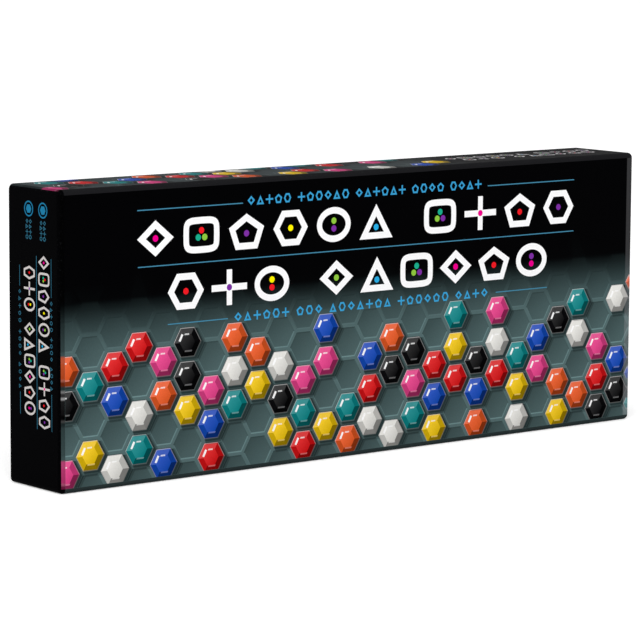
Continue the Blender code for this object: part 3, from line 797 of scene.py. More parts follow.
@dataclass(frozen=True)
class SignLine:
    """A line of plain signs, white with small coloured dots in a title, or small marks in one ink."""

    signs: tuple[Sign, ...]
    width: float
    height: float
    stroke: float
    dot: float = 0.0
    ink: Ink = Ink.SIGN
    breaks: tuple[int, ...] = ()
    first_dot: int = 1
    gap: float = 0.55
    dot_sides: int = 16

    @classmethod
    def marks(cls, size: float, count: int, breaks: tuple[int, ...], ink: Ink) -> "SignLine":
        """Make a line of small marks in a few groups, each as wide as high, with a stroke of 0.19 of it.

        Args:
            size: a mark's width.
            count: how many marks.
            breaks: numbers of the marks that a wider gap follows.
            ink: their colour.

        Returns:
            The line.
        """
        signs = tuple(MARK_SIGNS[(3 * number + number // 5) % 5] for number in range(count))
        return cls(signs, size, size, 0.19 * size, 0.0, ink, breaks)

    def put(self, sheet: Print, start: Sequence[float], length: float, run: Run = Run.ACROSS) -> None:
        """Print the line, with its signs at an even pitch, and a wider one after each break.

        Args:
            sheet: the panel's print.
            start: middle of the line's first end.
            length: the line's length.
            run: the way that it runs.
        """
        gaps = np.isin(np.arange(len(self.signs) - 1), self.breaks) * self.gap
        pitch = (length - self.width) / (len(gaps) + gaps.sum())
        places = np.concatenate([[0.0], np.cumsum(pitch * (1 + gaps))]) + self.width / 2
        axes = np.array(run.value)
        for number, place in enumerate(places):
            self.draw(sheet, number, np.array(start) + axes[0] * place, axes)

    def draw(self, sheet: Print, number: int, centre: Array, axes: Array) -> None:
        """Print one sign as a band between its outline and the same outline moved in by a stroke.

        Its dots stand about the mean of its corners.

        Args:
            sheet: the panel's print.
            number: the sign's number in the line.
            centre: its middle.
            axes: (2, 2) the directions of its width and its height.
        """
        sign, middle = self.signs[number], np.zeros(2)
        if sign is Sign.CROSS:
            for size in ((self.width, self.stroke), (self.stroke, self.height)):
                sheet.lay(centre + (0.5 * SQUARE * size) @ axes, self.ink)
        else:
            outer = sign.outline(self.width, self.height)
            middle = outer.mean(0)
            for quad in band(centre + outer @ axes, centre + moved_in(outer, self.stroke) @ axes):
                sheet.lay(quad, self.ink)
        for step, spot in enumerate(sign.spots(self.dot) if self.dot else ()):
            ink = DOT_INKS[(3 * number + step + self.first_dot) % len(DOT_INKS)]
            sheet.lay(centre + (middle + spot) @ axes + disc(self.dot, self.dot_sides), ink)


@dataclass(frozen=True)
class TilePattern:
    """Glossy six-sided tiles in a honeycomb of shallow sockets, the box's generic picture.

    Each shadow has its shift, growth and cover. The glints are corners about the tile's middle.
    """

    pitch: float = 15.3
    tile: float = 13.3
    rim: float = 0.7
    face_share: float = 0.55
    groove: float = 0.6
    first_row: float = 8.2
    last_row: float = 90.0
    top: float = 68.5
    tall_from: float = 118.0
    tall_top: float = 83.0
    sockets_end: float = 88.0
    sockets_fade: float = 30.0
    seed: int = 11
    filled: float = 0.68
    light_turn: float = 125.0
    contrast: float = 0.42
    faintest: float = 0.02
    shadows: tuple[tuple[float, float, float], ...] = ((1.9, 2.2, 0.3), (1.4, 1.2, 0.4), (0.9, 0.6, 0.45))
    socket_sides: tuple[float, ...] = (0.6, 0.3, 0.35, 1.1, 1.9, 1.7)
    glint: tuple[tuple[float, float], ...] = ((-4.9, 0.9), (-3.9, 0.5), (-2.3, 3.5), (-3.3, 4.0))
    spark: tuple[tuple[float, float], ...] = ((-1.5, 4.0), (-1.7, 3.3), (0.9, 3.3), (0.9, 4.0))
    glow: tuple[tuple[float, float], ...] = ((-1.6, -4.3), (2.2, -4.3), (2.6, -3.6), (-1.4, -3.6))

    def hexagon(self, centre: Array, height: float) -> Array:
        """Return the corners of a hexagon whose level top and bottom sides are that height apart."""
        return centre + height / math.sqrt(3) * directions(np.radians(60 * np.arange(6)))

    def places(self, low: Array, high: Array) -> Array:
        """Middles of the honeycomb's cells, column by column; every other column is half a pitch up.

        Args:
            low: lowest corner of the part that they fill.
            high: its highest corner.

        Returns:
            (n, 2) places.
        """
        step = self.pitch * math.sqrt(3) / 2
        columns = np.arange(math.ceil((high[0] - low[0]) / step) + 1)
        rows = np.arange(-1, math.ceil((min(high[1], self.last_row) - self.first_row) / self.pitch) + 1)
        column, row = (part.ravel() for part in np.meshgrid(columns, rows, indexing="ij"))
        rise = self.first_row + (row + 0.5 * (column % 2)) * self.pitch
        return np.stack([low[0] + column * step, rise], 1)

    def put(self, sheet: Print, low: Array, high: Array, strength: float = 1.0) -> None:
        """Print sockets and tiles over a part of the sheet.

        Each column of sockets holds about the same share of tiles, and the colours come in shuffled
        rounds, so that the mix is even.

        Args:
            sheet: the panel's print.
            low: the part's lowest corner.
            high: its highest corner.
            strength: how clearly the picture stands on its ground.
        """
        rng = np.random.default_rng(self.seed)
        places = self.places(low, high)
        for centre in places:
            shown = float(np.clip((self.sockets_end - centre[1]) / self.sockets_fade, 0.0, 1.0))
            self.put_socket(sheet, centre, shown * strength)
        tops = np.where(places[:, 0] > self.tall_from, self.tall_top, self.top)
        whole = places[(places[:, 1] > low[1]) & (places[:, 1] + 0.5 * self.tile <= tops)]
        inks = iter([PEG_INKS[number] for _ in whole for number in rng.permutation(len(PEG_INKS))])
        for across in np.unique(whole[:, 0]):
            column = rng.permutation(whole[whole[:, 0] == across])
            for centre in column[: round(self.filled * len(column) + rng.random() - 0.5)]:
                self.put_tile(sheet, centre, next(inks), strength)

    def put_socket(self, sheet: Print, centre: Array, strength: float) -> None:
        """Print one shallow socket: a dark floor, a lit lower rim and a shaded upper one.

        Args:
            sheet: the panel's print.
            centre: the socket's middle.
            strength: how clearly it shows.
        """
        if strength <= self.faintest:
            return
        outer, inner = (self.hexagon(centre, self.tile + grow) for grow in (self.groove, -self.groove))
        floor = sheet.ground(centre)
        for lit, quad in zip(self.socket_sides, band(outer, inner)):
            sheet.lay(quad, lit * floor, 0.8 * strength)
        axis = centre + np.array([[-4.0, 5.0], [4.0, -6.0]])
        sheet.lay(inner, 0.45 * floor, 0.9 * strength, 0.85 * floor, axis)

    def put_tile(self, sheet: Print, centre: Array, ink: Ink, strength: float) -> None:
        """Print one tile: its shadow, a pale rim, six bevels by their slope to the light, and glints.

        Args:
            sheet: the panel's print.
            centre: the tile's middle.
            ink: its colour.
            strength: how bright it is.
        """
        colour = 0.96 * rgb(ink) * strength
        for shift, grow, cover in self.shadows:
            shadow = self.hexagon(centre + np.array([shift, -0.8 * shift]), self.tile + grow)
            sheet.lay(shadow, np.zeros(3), cover)
        widths = (self.tile, self.tile - self.rim, self.face_share * self.tile)
        outer, bevel, face = (self.hexagon(centre, width) for width in widths)
        pale_rim = 0.35 * colour + 0.3 * strength
        self.facets(sheet, band(outer, bevel), pale_rim, 0.9, 0.1)
        self.facets(sheet, band(bevel, face), colour, 0.95, 0.07 * strength)
        axis = centre + np.array([[-3.4, 3.0], [3.0, -2.6]])
        sheet.lay(face, 1.05 * colour + 0.025 * strength, 1.0, 0.75 * colour, axis)
        sheet.lay(centre + np.array(self.glint), np.ones(3), 0.95 * strength)
        sheet.lay(centre + np.array(self.spark), np.ones(3), 0.6 * strength)
        sheet.lay(centre + np.array(self.glow), colour + 0.25, 0.45)

    def facets(self, sheet: Print, bevels: Array, colour: Array, depth: float, shine: float) -> None:
        """Print a band of six bevels, each as bright as it faces the light at the upper left.

        Args:
            sheet: the panel's print.
            bevels: (6, 4, 2) their corners.
            colour: their colour.
            depth: how dark the far side gets.
            shine: how much white the near side gets.
        """
        light = np.cos(np.radians(30 + 60 * np.arange(6) - self.light_turn))
        for share, bevel in zip(light, bevels):
            shade = 1 - self.contrast * depth * (1 - share)
            sheet.lay(bevel, colour * shade + shine * max(share, 0.0) ** 2)


class Panel(enum.Enum):
    """Flat panels of the box: the numbers of their own two axes, that of the axis they face, its sign."""

    FRONT = (0, 2, 1, -1.0)
    TOP = (0, 1, 2, 1.0)
    BOTTOM = (0, 1, 2, -1.0)
    LEFT = (1, 2, 0, -1.0)
    RIGHT = (1, 2, 0, 1.0)

    def __init__(self, first: int, second: int, across: int, sign: float) -> None:
        """Keep the numbers under their names, and the unit direction that the panel faces.

        Args:
            first: number of its first axis.
            second: number of its second axis.
            across: number of the axis that it faces.
            sign: -1 where it faces that axis's low end, or else 1.
        """
        self.axes = [first, second]
        self.across = across
        self.sign = sign
        self.outward = np.where(np.arange(3) == across, sign, 0.0)


MEETINGS = tuple(itertools.product((Panel.TOP, Panel.BOTTOM), (Panel.LEFT, Panel.RIGHT)))
SIDES = (Panel.TOP, Panel.BOTTOM, Panel.LEFT, Panel.RIGHT)
# The front's top fold is painted lighter as a highlight, and its bottom fold darker as shade. The right
# corners carry a painted highlight, and the left ones the plain dark ground.
EDGE_HIGHLIGHT_AND_SHADE_INKS = {Panel.TOP: Ink.FOLD, Panel.BOTTOM: Ink.LOW_EDGE_SHADE}
CORNER_INKS_AND_HIGHLIGHTS = {Panel.LEFT: Ink.GROUND, Panel.RIGHT: Ink.END_EDGE_HIGHLIGHT}


@dataclass
class PrintedLid:
    """The lid: a tray of rigid board wrapped in printed paper, open at the back."""

    node: str = "box_lid"
    body: str = "lid"
    edge_radius: float = 2.4
    wall: float = 1.8
    mark: float = 1.0
    arc_steps: int = 6
    turn_in: float = 15.0
    # The rim's rubbed specks are partly a painted highlight.
    rim_rub_and_sheen: float = 0.6
    # Width of the painted highlight beside the right fold.
    sheen_width: float = 2.2
    rule: float = 0.46
    tiles: TilePattern = TilePattern()
    title: SignLine = SignLine(TITLE_SIGNS, 20.0, 16.2, 3.0, 3.0, breaks=(5,))
    second_title: SignLine = SignLine(SECOND_SIGNS, 20.0, 16.2, 3.0, 3.0, breaks=(2,), first_dot=4)
    patches: Patchwork = field(default_factory=Patchwork)

    def __post_init__(self) -> None:
        """Take the lid's outer faces from its CAD node, and the spans of its flat parts between them."""
        low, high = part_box(self.node)
        size = (high - low) / MM
        self.origin = Vector(((low.x + high.x) / 2, low.y, low.z))
        self.faces = np.array([[-size.x / 2, size.x / 2], [0.0, size.y], [0.0, size.z]])
        self.spans = self.faces + self.edge_radius * np.array([[1.0, -1.0], [1.0, 0.0], [1.0, -1.0]])
        self.turn = np.linspace(0, math.pi / 2, self.arc_steps + 1)

    def marks(self, axis: int) -> Array:
        """Return even marks along an axis's flat span, about one mark length apart."""
        low, high = self.spans[axis]
        return np.linspace(low, high, max(2, round((high - low) / self.mark)) + 1)

    def far(self, panel: Panel) -> float:
        """Return the outer face's place along the axis that a panel faces."""
        return self.faces[panel.across, int(panel.sign > 0)]

    def fold(self, *panels: Panel) -> Array:
        """Find the middle of the rounding between some panels.

        Args:
            panels: the panels that meet there.

        Returns:
            Its place, which is 0 along an axis that none of them faces.
        """
        centre = np.zeros(3)
        for panel in panels:
            centre[panel.across] = self.far(panel) - panel.sign * self.edge_radius
        return centre

    def quarter(self, first: Array, second: Array) -> Array:
        """Turn one direction into another by a quarter circle, in even steps along a new first axis."""
        turn = self.turn.reshape((-1,) + (1,) * second.ndim)
        return np.cos(turn) * first + np.sin(turn) * second

    def blank(self, panel: Panel, low_ink: Ink, high_ink: Ink | None = None, **settings: Any) -> Print:
        """Make a panel's empty sheet.

        Args:
            panel: the panel.
            low_ink: the ground's colour.
            high_ink: the colour that it fades to.
            settings: further fields of the print.

        Returns:
            The sheet.
        """
        low, high = self.spans[panel.axes].T
        return Print(low, high, rgb(low_ink), rgb(high_ink or low_ink), **settings)

    def front(self) -> Print:
        """Print the front: tiles below, two title lines, their rules and small lines of marks.

        Returns:
            The sheet.
        """
        sheet = self.blank(Panel.FRONT, Ink.SLATE, Ink.GROUND, fade=(56.5, 85.5))
        self.tiles.put(sheet, sheet.low, sheet.high)
        # A pale line beside the right fold is a painted highlight, where the paper stretched
        # over the fold would catch the light.
        size = np.array([self.sheen_width, sheet.high[1] - sheet.low[1]])
        covers, ends = (0.22, 0.09), np.array([[0.0, 20.0], [0.0, 80.0]])
        sheet.bar(sheet.high - size / 2, size, Ink.SHEEN, covers, ends)
        self.title.put(sheet, (-130.7, 109.5), 262.0)
        self.second_title.put(sheet, (-114.0, 84.8), 228.0)
        for left, right, high in (
            (-130.6, -72.1, 122.4),
            (75.2, 131.5, 122.3),
            (-130.3, 131.5, 97.2),
            (-114.0, -80.5, 70.6),
            (81.1, 114.5, 70.6),
        ):
            sheet.bar(((left + right) / 2, high), (right - left, self.rule), Ink.RULE)
        for start, length, count, breaks in (
            ((-69.5, 123.4), 140.7, 25, (4, 10, 16, 20)),
            ((-76.8, 71.0), 152.7, 26, (5, 8, 15, 21)),
        ):
            SignLine.marks(4.2, count, breaks, Ink.MARK).put(sheet, start, length)
        return sheet

    def top(self) -> Print:
        """Print the top: a strip of tiles that fades out to the right, then two small title lines.

        Returns:
            The sheet.
        """
        sheet = self.blank(Panel.TOP, Ink.DUSK, Ink.NIGHT, fade=(36.0, 70.0), fade_axis=0)
        self.tiles.put(sheet, sheet.low, np.array([52.0, sheet.high[1]]), 0.7)
        for line, start, length in (
            (self.title, (70.0, 25.6), 94.0),
            (self.second_title, (74.5, 16.6), 85.0),
        ):
            small = replace(line, width=7.2, height=6.8, stroke=1.0, dot=1.0, ink=Ink.TOP_SIGN)
            small.put(sheet, start, length)
        return sheet

    def end(self, panel: Panel) -> Print:
        """Print an end: two ringed marks on top, and two title lines down it between blue rules.

        Args:
            panel: the left or the right panel.

        Returns:
            The sheet.
        """
        # The end's inks are darker copies of the front's: a painted shade.
        sheet = self.blank(panel, Ink.GROUND)
        ring = disc(2.0, 24)
        outer, inner, core = 3.5 * ring, 2.9 * ring, 2.1 * ring[::4]
        for across in (23.9, 12.9):
            centre = np.array([across, 123.8])
            for part in (*band(centre + outer, centre + inner), centre + core):
                sheet.lay(part, Ink.SHADED_END_MARK)
            for shift in (1.3, -1.3):
                marks = SignLine.marks(2.1, 4, (), Ink.SHADED_END_RULE)
                marks.put(sheet, (across + shift, 119.3), 9.0, Run.DOWN)
        for line, start, length in (
            (self.title, (12.4, 104.0), 76.5),
            (self.second_title, (23.7, 98.7), 66.3),
        ):
            small = replace(line, width=6.1, height=8.6, stroke=1.0, dot=1.15, ink=Ink.SHADED_END_SIGN)
            small.put(sheet, start, length, Run.DOWN)
        sheet.bar((18.1, 65.2), (0.45, 76.6), Ink.SHADED_END_RULE)
        for across, ends in ((6.7, (103.1, 86.1, 43.6, 27.1)), (31.3, (98.4, 89.2, 42.0, 32.1))):
            for upper, lower in (ends[:2], ends[2:]):
                sheet.bar((across, (upper + lower) / 2), (0.36, upper - lower), Ink.SHADED_END_RULE)
            marks = SignLine.marks(2.0, 13, (4, 8), Ink.SHADED_END_RULE)
            marks.put(sheet, (across, ends[1] - 1.5), ends[1] - ends[2] - 3, Run.DOWN)
        return sheet

    def lining(self, panel: Panel) -> Print:
        """Print an inner face: pale lining, and the wrapping paper's dark turn-in along the rim.

        Args:
            panel: the panel.

        Returns:
            The sheet.
        """
        sheet = self.blank(panel, Ink.LINING)
        if panel is not Panel.FRONT:
            low, high = sheet.low - 1.0, sheet.high + 1.0
            low[panel.axes.index(1)] = self.faces[1, 1] - self.turn_in
            sheet.bar((low + high) / 2, high - low, Ink.GROUND)
        return sheet

    def add_panel(self, panel: Panel, sheet: Print, inset: float) -> None:
        """Add one flat panel, cut up along its print.

        Args:
            panel: the panel.
            sheet: its print.
            inset: 0 on the outside, or the wall's thickness on the inside.
        """
        flat, faces, inks = sheet.partition(*(self.marks(axis) for axis in panel.axes))
        points = np.zeros((len(flat), 3))
        points[:, panel.axes] = flat
        points[:, panel.across] = self.far(panel) - panel.sign * inset
        facing = -panel.outward if inset else panel.outward
        if (normals(points, faces) @ facing).sum() < 0:
            faces, inks = faces[:, ::-1], inks[:, ::-1]
        self.patches.add(points, faces, inks)

    def border_inks(self, panel: Panel, sheet: Print, places: Array) -> Array:
        """Return the colours of a panel's print at the border nearest to some (n, 3) places."""
        margin = 3 * sheet.skin
        return sheet.colours_at(np.clip(places[:, panel.axes], sheet.low + margin, sheet.high - margin))

    def add_edge(self, first: Panel, second: Panel, sheets: dict[Panel, Print], inset: float) -> None:
        """Add the rounded edge between two panels.

        Its cross-section is a quarter circle from one panel's direction to the other's. Each half
        takes the colours of the panel that it meets, apart from the front's long folds, which have
        their own: a painted highlight along the top, and a painted shade along the bottom. The front's
        half of the left fold is painted darker, a painted shade, as it turns away from the light.

        Args:
            first: one panel.
            second: the other.
            sheets: the panels' prints.
            inset: 0 on the outside, or the wall's thickness on the inside.
        """
        along = 3 - first.across - second.across
        marks = self.marks(along)
        line = np.tile(self.fold(first, second), (len(marks), 1))
        line[:, along] = marks
        ways = self.quarter(first.outward, second.outward)
        ways = np.broadcast_to(ways[:, None], (len(ways), len(marks), 3))
        # The front's top fold gets a painted highlight, and its bottom fold a painted shade.
        if not inset and first is Panel.FRONT and second in EDGE_HIGHLIGHT_AND_SHADE_INKS:
            inks = rgb(EDGE_HIGHLIGHT_AND_SHADE_INKS[second])
        else:
            inks = np.stack([self.border_inks(panel, sheets[panel], line) for panel in (first, second)])
            # The front's half of the left fold is painted at half brightness: a painted shade.
            inks[0] *= 0.5 if second is Panel.LEFT and not inset else 1.0
            inks = np.repeat(inks, self.arc_steps // 2, 0)
        points = line + (self.edge_radius - inset) * ways
        # Rubbed specks, partly a painted highlight, are strongest at the middle of each outer fold.
        rub_and_sheen = 0.0 if inset else np.sin(2 * self.turn)[:, None]
        self.patches.add_grid(points, inks, -ways if inset else ways, rub_and_sheen)

    def add_corner(self, upright: Panel, end: Panel, inset: float) -> None:
        """Add one rounded corner of the front: an eighth of a sphere, by its two angles.

        Args:
            upright: the top or the bottom.
            end: the left or the right panel.
            inset: 0 on the outside, or the wall's thickness on the inside.
        """
        ways = self.quarter(upright.outward, self.quarter(Panel.FRONT.outward, end.outward))
        points = self.fold(Panel.FRONT, upright, end) + (self.edge_radius - inset) * ways
        # The right corners carry a painted highlight.
        ink = Ink.LINING if inset else CORNER_INKS_AND_HIGHLIGHTS[end]
        # Every outer corner is fully rubbed, partly as a painted highlight.
        self.patches.add_grid(points, rgb(ink), -ways if inset else ways, 0.0 if inset else 1.0)

    def add_rim(self) -> None:
        """Add the rim at the open back, a flat band between the outer and the inner outline."""
        ink, back = rgb(Ink.GROUND), np.array([0.0, 1.0, 0.0])
        radii = np.array([self.edge_radius, self.edge_radius - self.wall])[:, None, None]
        for upright, end in MEETINGS:
            centre = self.fold(upright, end)
            centre[1] = self.faces[1, 1]
            ways = self.quarter(upright.outward, end.outward)
            self.patches.add_grid(centre + radii * ways, ink, back, self.rim_rub_and_sheen, False)
        for panel in SIDES:
            along = 2 - panel.across
            marks = self.marks(along)
            points = np.full((2, len(marks), 3), self.faces[1, 1])
            points[..., along] = marks
            points[..., panel.across] = self.far(panel) - panel.sign * np.array([[0.0], [self.wall]])
            self.patches.add_grid(points, ink, back, self.rim_rub_and_sheen, False)

    def build(self) -> bpy.types.Object:
        """Build the lid as one closed shell.

        Returns:
            The lid, riding on its body in place of its CAD node.
        """
        outside = {
            Panel.FRONT: self.front(),
            Panel.TOP: self.top(),
            Panel.BOTTOM: self.blank(Panel.BOTTOM, Ink.GROUND),
            Panel.LEFT: self.end(Panel.LEFT),
            Panel.RIGHT: self.end(Panel.RIGHT),
        }
        inside = {panel: self.lining(panel) for panel in Panel}
        for sheets, inset in ((outside, 0.0), (inside, self.wall)):
            for panel, sheet in sheets.items():
                self.add_panel(panel, sheet, inset)
            for first, second in (*((Panel.FRONT, side) for side in SIDES), *MEETINGS):
                self.add_edge(first, second, sheets, inset)
            for upright, end in MEETINGS:
                self.add_corner(upright, end, inset)
        self.add_rim()
        mesh = self.patches.mesh("printed_lid", self.origin)
        return add_piece(mesh, OffsetPrint().material(), self.body, self.node)


@dataclass(frozen=True)
class PegShape:
    """Sizes of one kind of peg: a domed head with a thin rim, on a round stem."""

    head: float
    head_height: float
    rim: float
    stem: float
    stem_length: float
    edge: float
    sides: int
    dome_steps: int = 12
    dome_fullness: float = 1.9
    dome_roundness: float = 0.6
    rim_rounding: float = 0.3

    def outline(self) -> tuple[Array, Array]:
        """Work out the peg's outline from the top of its dome to the end of its stem.

        The dome's radius is (1 - h^fullness)^roundness of its base, where h, the share of its
        height, is the sine of an even turn. Below come the rim with rounded edges, the flat
        underside, and the stem with a tapered end.

        Returns:
            Radii, and distances from the top of the head.
        """
        rise = np.sin(np.linspace(math.pi / 2, 0, self.dome_steps))
        dome_height = self.head_height - self.rim
        base = self.head / 2 - self.edge
        radii = base * np.maximum(1 - rise**self.dome_fullness, 0.0) ** self.dome_roundness
        down = dome_height * (1 - rise)
        radius, full, end = self.head / 2, self.head_height, self.head_height + self.stem_length
        half, stem = self.rim_rounding * self.edge, self.stem / 2
        lower = np.array(
            [
                (radius - half, dome_height + 0.2 * half),
                (radius, dome_height + half),
                (radius, full - half),
                (radius - half, full),
                (stem + self.edge / 2, full),
                (stem, full + self.edge / 2),
                (stem, end - self.edge),
                (stem - self.edge, end),
                (0.0, end),
            ]
        )
        return np.concatenate([radii, lower[:, 0]]), np.concatenate([down, lower[:, 1]])

    def lathe(self, name: str, top: Vector) -> bpy.types.Mesh:
        """Turn the outline round its axis.

        A point lies at its radius times the cosine and sine of its turn, and its distance from the
        top along +Y. The two ends are single points.

        Args:
            name: the mesh's name.
            top: place of the head's top, in metres.

        Returns:
            The mesh.
        """
        radii, down = self.outline()
        rings, sides = len(radii) - 2, self.sides
        ring = radii[1:-1, None, None] * directions(even_turns(sides))
        ring = np.insert(ring, 1, np.broadcast_to(down[1:-1, None], (rings, sides)), axis=2).reshape(-1, 3)
        points = np.concatenate([ring, [[0.0, down[0], 0.0], [0.0, down[-1], 0.0]]])
        number = np.pad(np.arange(rings * sides).reshape(rings, sides), ((0, 0), (0, 1)), "wrap")
        first, last = len(points) - 2, len(points) - 1
        faces = quads(number).tolist()
        for cap in ((first, number[0, :-1], number[0, 1:]), (number[-1, :-1], last, number[-1, 1:])):
            faces += np.stack(np.broadcast_arrays(*cap), 1).tolist()
        return smooth_mesh(name, points * MM + np.array(top), faces)


@dataclass
class Pegs:
    """All pegs, each on its own body."""

    code: PegShape = PegShape(11.0, 7.8, 1.2, 4.4, 7.0, 0.4, 40)
    key: PegShape = PegShape(4.6, 3.4, 0.8, 2.2, 6.0, 0.25, 24)

    def finish(self, ink: Ink) -> MouldedPlastic:
        """Return a peg's finish: polished polypropylene, which shows the lamp as a sharp spot."""
        name = f"{ink.name.lower()}_polished_polypropylene"
        return MouldedPlastic(name, ink.value, 0.12, 1.5, 0.04, 9.0, 1.49)

    def build(self) -> list[bpy.types.Object]:
        """Build every peg in its socket.

        Returns:
            The pegs, each riding on its own body in place of its CAD node.
        """
        finishes = {ink.name.lower(): self.finish(ink).material() for ink in PEG_INKS}
        made = []
        for node in sorted(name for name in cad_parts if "_peg_" in name):
            low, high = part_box(node)
            top = Vector(((low.x + high.x) / 2, low.y, (low.z + high.z) / 2))
            colour = node.split("_")[0]
            shape, kind = (self.key, "key") if "_key_" in node else (self.code, "peg")
            mesh = shape.lathe(f"turned_{node}", top)
            made.append(add_piece(mesh, finishes[colour], node, node))
        return made


@dataclass(frozen=True)
class PadKind:
    """One kind of raised pad on the board, and the collars of its sockets."""

    width: float
    length: float
    high: float
    bore: float
    wall: float
    sides: int


@dataclass(frozen=True)
class BoardRelief:
    """Relief on the game board: a round lip along each pad, and a low collar round each socket.

    Places are counted from the board's left and lower ends, and heights from the pads' tops.
    """

    node: str = "game_board"
    body: str = "board"
    code: PadKind = PadKind(14.2, 64.6, 38.6, 2.3, 1.1, 20)
    key: PadKind = PadKind(13.4, 31.8, 93.1, 1.28, 0.85, 14)
    rows: int = 12
    first_row: float = 39.37
    row_pitch: float = 19.8
    hidden_row: float = 17.77
    pad_depth: float = 11.8
    pad_rise: float = 0.8
    sockets: int = 5
    peg_pitch: float = 12.6
    key_pitch: float = 6.0
    key_stagger: float = 5.6
    lip: float = 0.45
    lip_sides: int = 8
    arc_steps: int = 14
    collar_height: float = 0.22
    collar_round: float = 0.2
    collar_wall: float = 0.05
    collar_root: tuple[float, float] = (0.8, 0.3)

    def stadium(self, width: float, length: float) -> tuple[Array, Array]:
        """Work out a pad's outline: two half circles that face each other, and straight sides.

        Args:
            width: the pad's width.
            length: its length.

        Returns:
            (n, 3) places about the pad's middle and (n, 3) outward directions.
        """
        turn = np.linspace(0, math.pi, self.arc_steps + 1)
        ways = np.insert(directions(np.concatenate([turn, turn + math.pi])), 1, 0.0, axis=1)
        middles = np.zeros((len(ways), 3))
        middles[:, 2] = np.where(np.arange(len(ways)) <= self.arc_steps, 0.5, -0.5) * (length - width)
        return middles + 0.5 * width * ways, ways

    def sweep(self, path: Array, ways: Array, section: Array, places: Array) -> tuple[Array, Array]:
        """Carry a closed section round a closed path, once at each place.

        A point is the place, plus the path's point, plus the section's first number times the
        path's outward direction, plus its second number towards the front.

        Args:
            path: (k, 3) points of the path.
            ways: (k, 3) outward directions.
            section: (m, 2) numbers out and to the front, counter-clockwise.
            places: (n, 3) places.

        Returns:
            Points and four-sided faces.
        """
        front = np.array([0.0, -1.0, 0.0])
        ring = path[:, None] + section[None, :, :1] * ways[:, None] + section[None, :, 1:] * front
        points = (places[:, None, None] + ring[None]).reshape(-1, 3)
        number = np.arange(len(path) * len(section)).reshape(len(path), len(section))
        starts = np.arange(len(places)) * number.size
        cells = quads(np.pad(number, ((0, 1), (0, 1)), "wrap"))
        return points, (cells + starts[:, None, None]).reshape(-1, 4)

    def pads(self, kind: PadKind) -> Array:
        """Return the middles of the rows' pads of one kind."""
        across = self.first_row + self.row_pitch * np.arange(self.rows)
        return np.stack([across, np.zeros(self.rows), np.full(self.rows, kind.high)], 1)

    def code_places(self) -> Array:
        """Find the places of the code sockets, those of the hidden row on the board's plate.

        Returns:
            (n, 3) places.
        """
        hidden = np.array([[self.hidden_row, self.pad_rise, self.code.high]])
        rows = np.concatenate([hidden, self.pads(self.code)])
        steps = (np.arange(self.sockets) - (self.sockets - 1) / 2) * self.peg_pitch
        return (rows[:, None] + steps[None, :, None] * np.array([0.0, 0.0, 1.0])).reshape(-1, 3)

    def key_places(self) -> Array:
        """Find the places of the key sockets, in zigzag on their pads.

        Returns:
            (n, 3) places.
        """
        number = np.arange(self.sockets)
        steps = np.zeros((self.sockets, 3))
        steps[:, 0] = np.where(number % 2, -0.5, 0.5) * self.key_stagger
        steps[:, 2] = (number - (self.sockets - 1) / 2) * self.key_pitch
        return (self.pads(self.key)[:, None] + steps[None]).reshape(-1, 3)

    def collar(self, kind: PadKind) -> Array:
        """Work out a collar's section: down the bore, under the pad, and over a rounded top.

        Args:
            kind: the kind of pad.

        Returns:
            (6, 2) numbers out and to the front.
        """
        bore, outer = kind.bore, kind.bore + kind.wall
        high, round_off, straight = self.collar_height, self.collar_round, self.collar_wall
        inner_root, outer_root = self.collar_root
        root = [(bore, -inner_root), (outer, -outer_root), (outer, straight)]
        return np.array([*root, (outer - round_off, high), (bore + round_off, high), (bore, straight)])

    def build(self) -> list[bpy.types.Object]:
        """Build the lips and the collars.

        Returns:
            The two pieces, riding on the board's body.
        """
        bead = disc(2 * self.lip, self.lip_sides)
        lips, collars = [], []
        for kind, places in ((self.code, self.code_places()), (self.key, self.key_places())):
            lips.append(self.sweep(*self.stadium(kind.width, kind.length), bead, self.pads(kind)))
            ways = np.insert(directions(even_turns(kind.sides)), 1, 0.0, axis=1)
            collars.append(self.sweep(np.zeros(ways.shape), ways, self.collar(kind), places))
        return [self.piece("pad_lips", lips), self.piece("socket_collars", collars)]

    def piece(self, name: str, parts: Sequence[tuple[Array, Array]]) -> bpy.types.Object:
        """Join parts into one piece, dress it as the board and let it ride.

        Args:
            name: the piece's name.
            parts: points in millimetres and faces of each part.

        Returns:
            The piece.
        """
        low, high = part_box(self.node)
        origin = np.array([low.x, high.y - self.pad_depth * MM, low.z])
        starts = np.cumsum([0, *(len(points) for points, _ in parts)])
        faces = np.concatenate([cells + start for (_, cells), start in zip(parts, starts)])
        mesh = smooth_mesh(name, np.concatenate([points for points, _ in parts]) * MM + origin, faces)
        return add_piece(mesh, bpy.data.materials[BOARD_PLASTIC.name], self.body)


